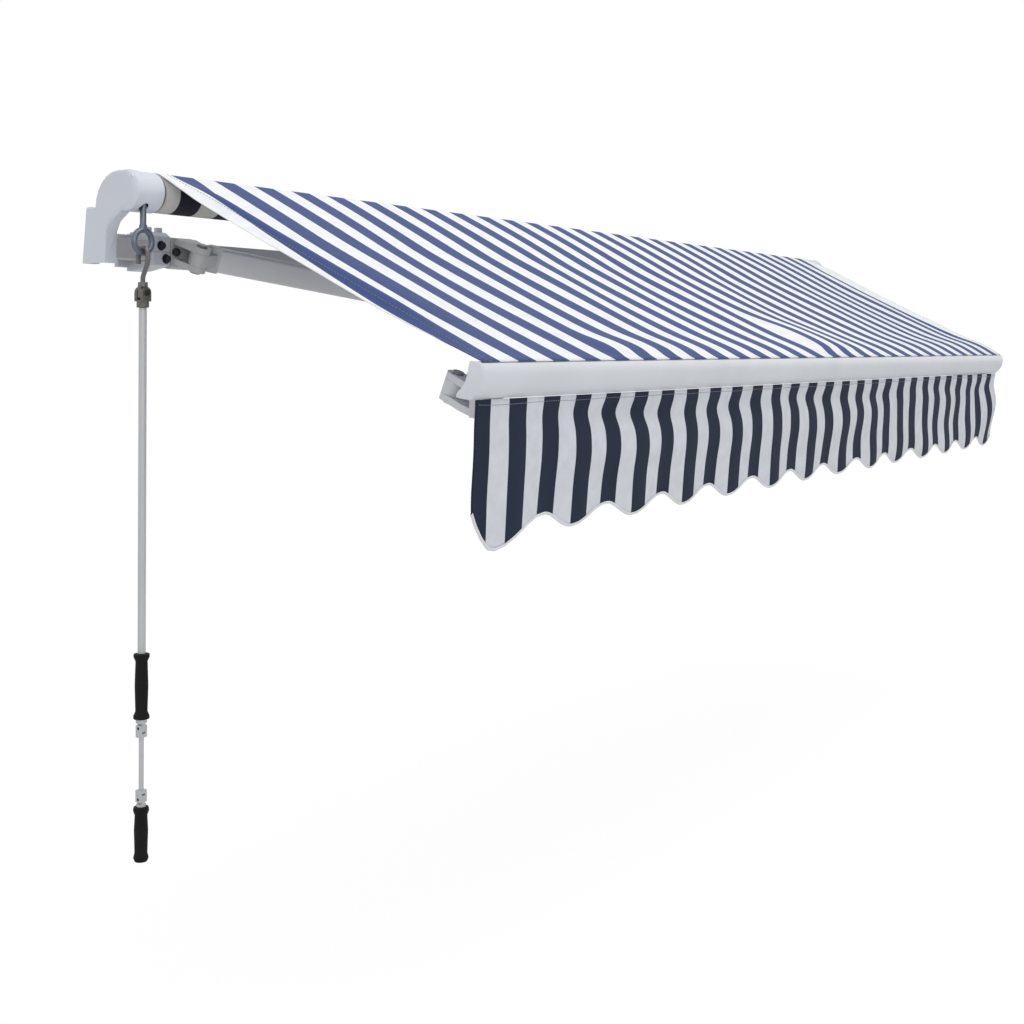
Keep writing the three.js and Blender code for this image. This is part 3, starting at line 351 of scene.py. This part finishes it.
def canopy_point(across, k):
    """across is metres from the cloth's middle, k runs from the roll (0) to the bar (1)."""
    half_here = CLOTH_HALF + (CLOTH_FRONT - CLOTH_HALF) * k
    side = across / CLOTH_HALF
    x = side * half_here
    lift = -SAG * 4 * k * (1 - k) * (1 - 0.4 * side * side) * min(1.0, k * 3)
    from_left = across + CLOTH_HALF
    from_right = CLOTH_HALF - across
    window = ease(k / 0.16) * ease((1 - k) / 0.33)
    lift += window * sum(high * bell(from_left, off, half) for high, off, half in LEFT_HEM)
    lift += window * sum(high * bell(from_right, off, half) for high, off, half in RIGHT_HEM)
    near_bar = bell(k, 0.93, 0.07) * ease((1 - k) / 0.05)
    lift += 0.006 * near_bar * ease((x + 1.0) / 0.055) * (1 - 0.6 * ease((x + 0.94) / 0.5))
    middle_seam = bell(k, 0.85, 0.15) * ease((1 - k) / 0.06)
    lift += 0.013 * middle_seam * ease((x + 0.055) / 0.055) * (1 - ease(x / 0.42))
    swell = bell(k, 0.9, 0.07)
    lift += 0.0035 * swell * ease((across - 0.2) / 1.0)
    lift += 0.0016 * math.sin(across * 9.0 + 2.5 * k) * math.sin(math.pi * k) ** 2
    lift += 0.0012 * math.sin(across * 23.0 + 6.0 * k + 1.0) * math.sin(math.pi * k) ** 2
    return Vector((x, start.y, start.z)) + run * k + above * lift


wide_steps = 286
hem_steps = 60
hem_step = 0.0025
roll_steps = 9
run_steps = 60
columns = [-CLOTH_HALF + 2 * CLOTH_HALF * i / wide_steps for i in range(wide_steps + 1)]
extra = [-CLOTH_HALF + hem_step * i for i in range(1, hem_steps)]
columns = sorted(set(round(c, 5) for c in columns + extra + [-c for c in extra]))
rows = []
uvs = []
for i in range(roll_steps):
    left_over = (1 - i / roll_steps) * WOUND_ANGLE
    turn = meet - left_over
    rows.append([(c, ROLLER_Y + ROLL_R * math.cos(turn), ROLLER_Z + ROLL_R * math.sin(turn))
                 for c in columns])
    uvs.append([(c, -left_over * ROLL_R) for c in columns])
for i in range(run_steps + 1):
    k = i / run_steps
    line = [canopy_point(c, k) for c in columns]
    rows.append([tuple(p) for p in line])
    uvs.append([(p.x, k * run.length) for p in line])
canopy_sheet = cloth_mesh("canopy_sheet", rows, uvs, canopy_cloth)


def pay_out(piece):
    """The cloth stays on the roll at its top and follows the front bar at its lower edge. Its first
    centimetre and a half stays still, so that it clears the roll when the arms fold."""
    pull = piece.vertex_groups.new(name="towards_bar")
    for vertex in piece.data.vertices:
        k = (vertex.co - start).dot(run) / run.length_squared
        pull.add([vertex.index], min(1.0, max(0.0, (k - STEADY) / (1 - STEADY))), "REPLACE")
    hold = piece.modifiers.new("front_bar_pull", "HOOK")
    hold.object = frame["bodies"]["front"]
    hold.matrix_inverse = frame["bodies"]["front"].matrix_world.inverted()
    hold.vertex_group = "towards_bar"


bpy.context.view_layer.update()
pay_out(canopy_sheet)
thicken(canopy_sheet, CANOPY_THICK)
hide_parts("canopy")
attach(canopy_sheet, "wall_frame")

# Wound cloth: the rest of the canvas on the roller, its stripes running round it, in a copy of the canvas
# painted much darker as painted shade
WOUND_R = 0.0319
WOUND_THICK = 0.005
round_steps = 48
wide_steps = 144
places = [-CLOTH_HALF + 2 * CLOTH_HALF * j / wide_steps for j in range(wide_steps + 1)]
rows = []
uvs = []
for i in range(round_steps + 1):
    angle = 2 * math.pi * i / round_steps
    rows.append([(x, ROLLER_Y + WOUND_R * math.cos(angle), ROLLER_Z + WOUND_R * math.sin(angle))
                 for x in places])
    uvs.append([(x, angle * WOUND_R) for x in places])
wound_cloth = cloth_mesh("wound_cloth", rows, uvs, rolled_cloth_painted_shade)
shell = bmesh.new()
shell.from_mesh(wound_cloth.data)
bmesh.ops.remove_doubles(shell, verts=shell.verts, dist=1e-5)
bmesh.ops.recalc_face_normals(shell, faces=shell.faces)
shell.to_mesh(wound_cloth.data)
shell.free()
thicken(wound_cloth, WOUND_THICK, -1)
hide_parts("cloth_roll")
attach(wound_cloth, "roller")

# Valance: hangs from the bar's underside, waves back towards the wall, and ends in rounded scallops. Its
# cloth is the canvas painted darker, as painted shade.
VAL_LEFT = -1.390
VAL_RIGHT = 1.395
VAL_TOP = -0.2376
VAL_LOW = -0.449
VAL_NOTCH = 0.026
VAL_THICK = 0.0012
VAL_Y = -0.716
NOTCH_X = FIRST_STRIPE
SCALLOP = 2 * STRIPE
STEEP_SHARE = 0.38
FIRST_HEM = [(0.0, -0.404), (0.05, -0.424), (0.12, -0.443), (0.22, -0.4605), (0.30, -0.4635),
             (0.42, -0.459), (0.58, -0.447), (0.74, -0.434), (0.88, -0.425), (1.0, -0.423)]


def hem_z(x):
    """Rounded scallops, steeper on their left side; the first one hangs lower and ends in a curve."""
    if x < NOTCH_X + SCALLOP:
        t = (x - VAL_LEFT) / (NOTCH_X + SCALLOP - VAL_LEFT)
        for (t0, z0), (t1, z1) in zip(FIRST_HEM, FIRST_HEM[1:]):
            if t <= t1:
                break
        return z0 + (z1 - z0) * (t - t0) / (t1 - t0)
    phase = ((x - NOTCH_X) / SCALLOP) % 1.0
    if phase < STEEP_SHARE:
        skew = phase / STEEP_SHARE * 0.5
    else:
        skew = 0.5 + (phase - STEEP_SHARE) / (1 - STEEP_SHARE) * 0.5
    return VAL_LOW + VAL_NOTCH * (0.5 + 0.5 * math.cos(2 * math.pi * skew))


# Depth of the valance's folds along it: place and share of the full depth
FOLDS = [(-1.39, 0.1), (-1.275, 0.15), (-1.175, 0.4), (-1.075, 1.0), (-0.975, 1.5), (-0.875, 1.5),
         (-0.775, 1.1), (-0.675, 0.7), (-0.5, 1.2), (-0.3, 0.6), (-0.1, 1.3), (0.1, 0.7), (0.35, 1.2),
         (0.6, 0.7), (0.9, 1.1), (1.2, 0.6), (1.41, 0.4)]


def fold_strength(x):
    for (x0, f0), (x1, f1) in zip(FOLDS, FOLDS[1:]):
        if x <= x1:
            break
    return f0 + (f1 - f0) * ease((x - x0) / (x1 - x0))


def valance_point(x, t):
    z = VAL_TOP + (hem_z(x) - VAL_TOP) * t
    k = (VAL_TOP - z) / (VAL_TOP - VAL_LOW)
    far = ease((x + 0.5) / 1.3)
    fold = fold_strength(x)
    back = (0.0115 + 0.0015 * ease((x - VAL_LEFT) / 0.3)) * k ** 1.4
    back += 0.0072 * fold * bell(k, 0.17 + 0.03 * math.sin(7 * x), 0.10)
    back -= 0.0030 * fold * bell(k, 0.46, 0.15)
    back += k * (0.0036 * math.sin(x / STRIPE * math.pi + 0.9) + 0.0022 * math.sin(x * 11.6 + 2))
    back += 0.0045 * far * ease(k / 0.25) * math.sin(7.5 * k + 2.2 * math.sin(4.3 * x) + 6 * x)
    curl = 0.009 * bell(x, VAL_LEFT, 0.05) * ease((k - 0.6) / 0.5)
    return (x + curl, VAL_Y + back, z)


wide_steps = 560
drop_steps = 28
rows = []
uvs = []
across = [VAL_LEFT + (VAL_RIGHT - VAL_LEFT) * i / wide_steps for i in range(wide_steps + 1)]
for i in range(drop_steps + 1):
    t = i / drop_steps
    rows.append([valance_point(x, t) for x in across])
    uvs.append([(x, (hem_z(x) - VAL_TOP) * t) for x in across])
valance_sheet = cloth_mesh("valance_sheet", rows, uvs, valance_cloth_painted_shade)
thicken(valance_sheet, VAL_THICK)
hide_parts("valance")
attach(valance_sheet, "front")

# Binding: a narrow white tape folded over the valance's scalloped hem
tape_cloth = canvas("binding_tape", (0.78, 0.79, 0.82, 1), (0.78, 0.79, 0.82, 1), 0.05)
TAPE_THICK = 0.0005
BESIDE_STRIPES = 5
section = [(-0.0012, 0.0030), (-0.0014, 0.0015), (-0.0014, 0.0), (-0.001, -0.0010), (0.0, -0.0014),
           (0.001, -0.0010), (0.0014, 0.0), (0.0014, 0.0015), (0.0012, 0.0030)]
tape_steps = 700
route = [Vector(valance_point(VAL_LEFT + (VAL_RIGHT - VAL_LEFT) * i / tape_steps, 1.0))
         for i in range(tape_steps + 1)]
tape_rows = []
tape_uvs = []
along = 0.0
for i, p in enumerate(route):
    before = route[max(0, i - 1)]
    after = route[min(len(route) - 1, i + 1)]
    ahead = (after - before).normalized()
    inward = Vector((0, 1, 0)).cross(ahead).normalized()
    if i:
        along += (p - route[i - 1]).length
    tape_rows.append([tuple(p + Vector((0, dy, 0)) - inward * dz) for dy, dz in section])
    tape_uvs.append([(BESIDE_STRIPES + dz + dy, along) for dy, dz in section])
hem_tape = cloth_mesh("valance_binding", tape_rows, tape_uvs, tape_cloth)
thicken(hem_tape, TAPE_THICK)
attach(hem_tape, "front")

# Stitches: rows of short thread on the valance's heading and on the canopy's two side hems
thread = canvas("sewing_thread", (0.3, 0.31, 0.34, 1), (0.3, 0.31, 0.34, 1), 0.0)
sewing, given, made = new_group(
    "stitch_row",
    [("Route", "NodeSocketGeometry", None), ("Pitch", "NodeSocketFloat", 0.007),
     ("Length", "NodeSocketFloat", 0.0042), ("Thread radius", "NodeSocketFloat", 0.00045),
     ("Thread", "NodeSocketMaterial", None)],
    [("Stitches", "NodeSocketGeometry")], "GeometryNodeTree")
path =sewing.nodes.new("GeometryNodeMeshToCurve")
spaced = sewing.nodes.new("GeometryNodeResampleCurve")
spaced.mode = "LENGTH"
one = sewing.nodes.new("GeometryNodeMeshCylinder")
one.inputs["Vertices"].default_value = 6
heading_way = sewing.nodes.new("GeometryNodeInputTangent")
turned = sewing.nodes.new("FunctionNodeAlignRotationToVector")
turned.axis = "Z"
placed = sewing.nodes.new("GeometryNodeInstanceOnPoints")
real = sewing.nodes.new("GeometryNodeRealizeInstances")
painted = sewing.nodes.new("GeometryNodeSetMaterial")
sewing.links.new(given.outputs["Route"], path.inputs["Mesh"])
sewing.links.new(path.outputs["Curve"], spaced.inputs["Curve"])
sewing.links.new(given.outputs["Pitch"], spaced.inputs["Length"])
sewing.links.new(given.outputs["Thread radius"], one.inputs["Radius"])
sewing.links.new(given.outputs["Length"], one.inputs["Depth"])
sewing.links.new(heading_way.outputs["Tangent"], turned.inputs["Vector"])
sewing.links.new(spaced.outputs["Curve"], placed.inputs["Points"])
sewing.links.new(one.outputs["Mesh"], placed.inputs["Instance"])
sewing.links.new(turned.outputs["Rotation"], placed.inputs["Rotation"])
sewing.links.new(placed.outputs["Instances"], real.inputs["Geometry"])
sewing.links.new(real.outputs["Geometry"], painted.inputs["Geometry"])
sewing.links.new(given.outputs["Thread"], painted.inputs["Material"])
sewing.links.new(painted.outputs["Geometry"], made.inputs["Stitches"])


def input_id(tree, label):
    return next(i.identifier for i in tree.interface.items_tree if i.name == label and i.in_out == "INPUT")


def grown(name, guide_name, points, edges, group, label, material):
    """The node group's result on loose points or lines, kept as a plain mesh."""
    guide = bpy.data.meshes.new(guide_name)
    guide.from_pydata(points, edges, [])
    carrier = bpy.data.objects.new(guide_name, guide)
    scene.collection.objects.link(carrier)
    drive = carrier.modifiers.new("drive", "NODES")
    drive.node_group = group
    drive[input_id(group, label)] = material
    bpy.context.view_layer.update()
    plain = bpy.data.meshes.new_from_object(carrier.evaluated_get(bpy.context.evaluated_depsgraph_get()))
    bpy.data.objects.remove(carrier)
    piece = bpy.data.objects.new(name, plain)
    scene.collection.objects.link(piece)
    return piece


def stitched(name, lines):
    points = [tuple(p) for line in lines for p in line]
    edges = []
    first = 0
    for line in lines:
        edges += [(first + i, first + i + 1) for i in range(len(line) - 1)]
        first += len(line)
    piece = grown(name, name + "_route", points, edges, sewing, "Thread", thread)
    if not piece.data.uv_layers:
        piece.data.uv_layers.new(name="cloth")
    piece.data.uv_layers[0].name = "cloth"
    return piece


HEADING_DOWN = 0.04
HEADING_OUT = 0.0009
HEM_SEAM = 0.021
HEM_OUT = 0.0008
hem_steps = 50
heading = [Vector(valance_point(x, HEADING_DOWN)) - Vector((0, HEADING_OUT, 0)) for x in across[2:-2:2]]
valance_stitches = stitched("valance_stitches", [heading])
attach(valance_stitches, "front")
hems = [[canopy_point(side * (CLOTH_HALF - HEM_SEAM), i / hem_steps) + above * HEM_OUT
         for i in range(hem_steps + 1)] for side in (-1, 1)]
canopy_stitches = stitched("canopy_stitches", hems)
pay_out(canopy_stitches)
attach(canopy_stitches, "wall_frame")

# Shared wear and grain for metal and plastic: slow changes of tone, fine speckle and a soft relief
GRAIN_DEPTH = 0.0004
SHINE_CHANGE = 0.1
wear, e_in, e_out = new_group(
    "surface_wear",
    [("Place", "NodeSocketVector", None), ("Grain per metre", "NodeSocketFloat", 600.0),
     ("Tone change", "NodeSocketFloat", 0.08)],
    [("Tone", "NodeSocketFloat"), ("Grain", "NodeSocketFloat")])
broad = wear.nodes.new("ShaderNodeTexNoise")
broad.inputs["Scale"].default_value = 9
broad.inputs["Detail"].default_value = 6
fine = wear.nodes.new("ShaderNodeTexNoise")
fine.inputs["Detail"].default_value = 3
wear.links.new(e_in.outputs["Place"], broad.inputs["Vector"])
wear.links.new(e_in.outputs["Place"], fine.inputs["Vector"])
wear.links.new(e_in.outputs["Grain per metre"], fine.inputs["Scale"])
centred = sums(wear, "SUBTRACT", sums(wear, "MULTIPLY", broad.outputs["Fac"], 2.0), 1.0)
wear.links.new(sums(wear, "ADD", sums(wear, "MULTIPLY", centred, e_in.outputs["Tone change"]), 1.0),
               e_out.inputs["Tone"])
wear.links.new(fine.outputs["Fac"], e_out.inputs["Grain"])


def finish(name, colour, rough, metal=0.0, grain=600.0, change=0.08, relief=0.15, coat=0.0, gloss=0.5):
    coatwork = bpy.data.materials.new(name)
    coatwork.use_nodes = True
    tree = coatwork.node_tree
    look = tree.nodes["Principled BSDF"]
    look.inputs["Coat Weight"].default_value = coat
    look.inputs["Metallic"].default_value = metal
    look.inputs["Specular IOR Level"].default_value = gloss
    place = tree.nodes.new("ShaderNodeTexCoord")
    worn = grouped(tree, wear, place.outputs["Object"])
    worn.inputs["Grain per metre"].default_value = grain
    worn.inputs["Tone change"].default_value = change
    tinted(tree, look, worn.outputs["Tone"]).default_value = colour
    shine = tree.nodes.new("ShaderNodeMapRange")
    shine.inputs["To Min"].default_value = max(0.05, rough - SHINE_CHANGE)
    shine.inputs["To Max"].default_value = min(1.0, rough + SHINE_CHANGE)
    tree.links.new(worn.outputs["Grain"], shine.inputs["Value"])
    tree.links.new(shine.outputs["Result"], look.inputs["Roughness"])
    raised(tree, look, worn.outputs["Grain"], relief, GRAIN_DEPTH)
    return coatwork


def shaped(names, material, edge, limit=38):
    """Each member with its edges broken and its round faces smooth, on the body that carries it."""
    for name in names:
        node = frame["nodes"][name]
        shell = bmesh.new()
        shell.from_mesh(node.data)
        bmesh.ops.remove_doubles(shell, verts=shell.verts, dist=2e-6)
        bmesh.ops.dissolve_limit(shell, angle_limit=math.radians(0.5), verts=shell.verts,
                                 edges=shell.edges)
        mesh = bpy.data.meshes.new(name + "_shaped")
        shell.to_mesh(mesh)
        shell.free()
        mesh.materials.clear()
        mesh.materials.append(material)
        for face in mesh.polygons:
            face.use_smooth = True
            face.material_index = 0
        mesh.set_sharp_from_angle(angle=math.radians(limit))
        piece = bpy.data.objects.new(name + "_shaped", mesh)
        scene.collection.objects.link(piece)
        if edge:
            broken = piece.modifiers.new("broken_edges", "BEVEL")
            broken.width = edge
            broken.segments = 2
            broken.limit_method = "ANGLE"
            broken.angle_limit = math.radians(limit)
        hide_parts(name)
        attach(piece, node.parent.name.removeprefix("body:"))


def both(*names):
    return [f"{name}_{side}" for name in names for side in ("l", "r")]


# Frame members: powder-coated steel and cast aluminium, each kind in its own grey; bare steel pins,
# plates and gear; enamelled crank with rubber grips.
shaped(["torsion_bar"], finish("powder_coat_bar", (0.44, 0.44, 0.455, 1), 0.5, grain=900, relief=0.1),
       0.002)
shaped(both("upper_tube", "fore_tube"),
       finish("powder_coat_arm", (0.6, 0.6, 0.62, 1), 0.45, grain=900, relief=0.1), 0)
cast_metal = finish("cast_arm_end", (0.45, 0.46, 0.46, 1), 0.5, metal=0.25, grain=420, change=0.14,
                    relief=0.35)
shaped(both("shoulder_base", "upper_root", "upper_elbow", "fore_elbow"), cast_metal,
       0.0016)
shaped(both("fore_front", "front_bracket"),
       finish("cast_front_end", (0.68, 0.7, 0.73, 1), 0.45, grain=420, change=0.1, relief=0.25),
       0.0016)
shaped(both("wall_bracket", "bracket_keeper"),
       finish("cast_wall_bracket", (0.52, 0.54, 0.58, 1), 0.48, metal=0.2, grain=420, change=0.12,
              relief=0.35), 0.0014)
shaped(both("roller_arm"), finish("plate_steel", (0.3, 0.31, 0.33, 1), 0.42, metal=0.6),
       0.0006)
shaped(both("shoulder_pin", "elbow_pin", "front_pin"),
       finish("zinc_pin", (0.3, 0.31, 0.32, 1), 0.38, metal=0.7), 0.0007)
shaped(both("tilt_bolt"), finish("black_bolt", (0.02, 0.022, 0.03, 1), 0.4, metal=0.4), 0.0007)
shaped(["gear_housing"], finish("gear_plastic", (0.07, 0.07, 0.08, 1), 0.5), 0.0008)
shaped(["gear_wheel"], finish("gear_brass", (0.4, 0.29, 0.12, 1), 0.4, metal=0.8), 0.0003)
shaped(["roller_tube"], finish("roller_steel", (0.45, 0.46, 0.48, 1), 0.35, metal=0.8), 0)
shaped(both("roller_plug"), finish("plug_plastic", (0.42, 0.42, 0.43, 1), 0.5), 0.001)
shaped(["worm_eye"], finish("eye_steel", (0.16, 0.18, 0.22, 1), 0.32, metal=0.65), 0)
shaped(["crank_hook"], finish("hook_steel", (0.17, 0.16, 0.165, 1), 0.35, metal=0.5), 0)
shaped(["knuckle"], finish("knuckle_zinc", (0.15, 0.14, 0.12, 1), 0.45, metal=0.4, change=0.2),
       0.001)
shaped(["knuckle_pin", "fold_pin_top", "fold_pin_low"],
       finish("dark_pin", (0.04, 0.04, 0.045, 1), 0.35, metal=0.6), 0.0004)
shaped(["crank_rod", "crank_arm", "grip_spindle"],
       finish("crank_enamel", (0.55, 0.56, 0.57, 1), 0.4, metal=0.2, grain=1500, relief=0.05),
       0.0006)
shaped(["upper_grip", "lower_grip"],
       finish("grip_rubber", (0.006, 0.006, 0.0065, 1), 0.7, grain=1400, relief=0.3, gloss=0.2),
       0.0008)

# Front bar: extruded aluminium, its face rounding under to the valance's groove, its rear flaring to
# a foot. It leans seven degrees back; a moulded cap with a rounded rim closes each end.
bar_enamel = finish("front_bar_enamel", (0.7, 0.73, 0.78, 1), 0.34, grain=1200, relief=0.04, coat=0.25)
BAR_HALF = 1.398
BAR_LEAN = math.radians(7)
face_and_foot = [(0.0060, 0.0), (0.0022, -0.0025), (-0.0008, -0.009), (-0.0018, -0.018),
                 (-0.0008, -0.028), (0.0022, -0.037), (0.0068, -0.045), (0.0110, -0.0505),
                 (0.0150, -0.0545), (0.0180, -0.055), (0.0375, -0.055), (0.0395, -0.0525),
                 (0.0385, -0.0475), (0.0320, -0.040), (0.0270, -0.031), (0.0240, -0.018),
                 (0.0228, -0.004), (0.0200, 0.0)]


def along_outline(points, steps=4):
    """A closed smooth curve through the points, with a few steps between each pair."""
    many = []
    count = len(points)
    for i in range(count):
        a, b, c, d = (Vector(points[(i + j - 1) % count]) for j in range(4))
        for j in range(steps):
            t = j / steps
            many.append(0.5 * ((2 * b) + (c - a) * t + (2 * a - 5 * b + 4 * c - d) * t * t
                               + (3 * b - a - 3 * c + d) * t ** 3))
    return many


def pushed_out(name, outline, x0, x1, rim, material, node):
    """The outline pushed along the bar between x0 and x1, its two rims rounded when rim is given."""
    centre = sum(outline, Vector((0, 0))) / len(outline)
    stops = [(x0, rim), (x0 + 0.35 * rim, 0.35 * rim), (x0 + rim, 0.0)] if rim else [(x0, 0.0)]
    stops += [(x1 - rim, 0.0), (x1 - 0.35 * rim, 0.35 * rim), (x1, rim)] if rim else [(x1, 0.0)]
    points = []
    for x, inset in stops:
        for v in outline:
            w = v - (v - centre).normalized() * inset
            y = BAR_FACE + w.x * math.cos(BAR_LEAN) - w.y * math.sin(BAR_LEAN)
            z = BAR_TOP + w.y * math.cos(BAR_LEAN) + w.x * math.sin(BAR_LEAN)
            points.append((x, y, z))
    n = len(outline)
    faces = [tuple(range(n - 1, -1, -1)), tuple(range((len(stops) - 1) * n, len(stops) * n))]
    for i in range(len(stops) - 1):
        faces += [(i * n + j, i * n + (j + 1) % n, (i + 1) * n + (j + 1) % n, (i + 1) * n + j)
                  for j in range(n)]
    mesh = bpy.data.meshes.new(name)
    mesh.from_pydata(points, [], faces)
    shell = bmesh.new()
    shell.from_mesh(mesh)
    bmesh.ops.recalc_face_normals(shell, faces=shell.faces)
    shell.to_mesh(mesh)
    shell.free()
    mesh.materials.append(material)
    for face in mesh.polygons:
        face.use_smooth = True
    mesh.set_sharp_from_angle(angle=math.radians(40))
    piece = bpy.data.objects.new(name, mesh)
    scene.collection.objects.link(piece)
    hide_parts(node)
    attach(piece, "front")


bar_outline = along_outline(face_and_foot)
pushed_out("front_bar_profile", bar_outline, -BAR_HALF, BAR_HALF, 0, bar_enamel, "front_bar")
CAP_GAP = 0.0003
CAP_THICK = 0.004
CAP_WIDER = 0.0008
CAP_RIM = 0.0013
cap_centre = Vector((0.012, -0.028))
cap_outline = [v + (v - cap_centre).normalized() * CAP_WIDER for v in bar_outline]
for side, x0 in (("l", -BAR_HALF - CAP_GAP - CAP_THICK), ("r", BAR_HALF + CAP_GAP)):
    pushed_out("bar_cap_" + side, cap_outline, x0, x0 + CAP_THICK, CAP_RIM, bar_enamel,
               "front_cap_" + side)

# End covers: moulded plastic shells over the roller's ends, one leg and a round collar in one piece.
# Their outline edges are rounded like a pipe elbow, and the thin open rims stay crisp.
cover_plastic = finish("cover_plastic", (0.66, 0.69, 0.76, 1), 0.4, grain=700, relief=0.06, coat=0.15)
COVER_OUTSIDE = 1.498
LEG_INSIDE = 1.474
LEG_RIM_Z = -0.0255
SAME_PLACE = 0.0004
ELBOW_ROUND = 0.0052
INSIDE_SHARE = 0.7
shaped(both("end_cover"), cover_plastic, 0, limit=45)
for side in ("l", "r"):
    cover = bpy.data.objects["end_cover_" + side + "_shaped"]
    turned_edges = bmesh.new()
    turned_edges.from_mesh(cover.data)
    weights = []
    for line in turned_edges.edges:
        ends = [abs(v.co.x) for v in line.verts]
        low = min(v.co.z for v in line.verts)
        rounded = 0.0
        if line.is_convex and low > LEG_RIM_Z:
            if min(ends) > COVER_OUTSIDE - SAME_PLACE:
                rounded = 1.0
            elif max(abs(x - LEG_INSIDE) for x in ends) < SAME_PLACE:
                rounded = INSIDE_SHARE
        weights.append(rounded)
    turned_edges.free()
    cover.data.attributes.new("bevel_weight_edge", "FLOAT", "EDGE").data.foreach_set("value", weights)
    elbow = cover.modifiers.new("rounded_outline", "BEVEL")
    elbow.width = ELBOW_ROUND
    elbow.segments = 5
    elbow.limit_method = "WEIGHT"
    elbow.use_clamp_overlap = False

# Screws in the wall brackets: dark cap heads on washers, two in the front lip of each
screw_steel = finish("dark_screw", (0.025, 0.026, 0.032, 1), 0.38, metal=0.5)
WASHER_THICK = 0.0014
WASHER_WIDER = 1.35
HEAD_LIFT = 0.0036
screws, given, made = new_group(
    "cap_screws",
    [("Places", "NodeSocketGeometry", None), ("Head radius", "NodeSocketFloat", 0.0062),
     ("Head height", "NodeSocketFloat", 0.006), ("Steel", "NodeSocketMaterial", None)],
    [("Screws", "NodeSocketGeometry")], "GeometryNodeTree")
head = screws.nodes.new("GeometryNodeMeshCylinder")
head.inputs["Vertices"].default_value = 6
washer = screws.nodes.new("GeometryNodeMeshCylinder")
washer.inputs["Vertices"].default_value = 20
washer.inputs["Depth"].default_value = WASHER_THICK
lifted = screws.nodes.new("GeometryNodeTransform")
lifted.inputs["Translation"].default_value = (0, 0, HEAD_LIFT)
pair = screws.nodes.new("GeometryNodeJoinGeometry")
placed = screws.nodes.new("GeometryNodeInstanceOnPoints")
placed.inputs["Rotation"].default_value = (math.pi / 2, 0, 0)
real = screws.nodes.new("GeometryNodeRealizeInstances")
painted = screws.nodes.new("GeometryNodeSetMaterial")
screws.links.new(given.outputs["Head radius"], head.inputs["Radius"])
screws.links.new(given.outputs["Head height"], head.inputs["Depth"])
screws.links.new(sums(screws, "MULTIPLY", given.outputs["Head radius"], WASHER_WIDER),
                 washer.inputs["Radius"])
screws.links.new(head.outputs["Mesh"], lifted.inputs["Geometry"])
screws.links.new(lifted.outputs["Geometry"], pair.inputs["Geometry"])
screws.links.new(washer.outputs["Mesh"], pair.inputs["Geometry"])
screws.links.new(given.outputs["Places"], placed.inputs["Points"])
screws.links.new(pair.outputs["Geometry"], placed.inputs["Instance"])
screws.links.new(placed.outputs["Instances"], real.inputs["Geometry"])
screws.links.new(real.outputs["Geometry"], painted.inputs["Geometry"])
screws.links.new(given.outputs["Steel"], painted.inputs["Material"])
screws.links.new(painted.outputs["Geometry"], made.inputs["Screws"])
lip_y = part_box("bracket_keeper_l")[0][1]
screw_places = [(1.3777, 0.0085), (1.3663, -0.0135)]
spots = [(side * x, lip_y, z) for side in (-1, 1) for x, z in screw_places]
bracket_screws = grown("bracket_screws", "screw_places", spots, [], screws, "Steel", screw_steel)
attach(bracket_screws, "wall_frame")
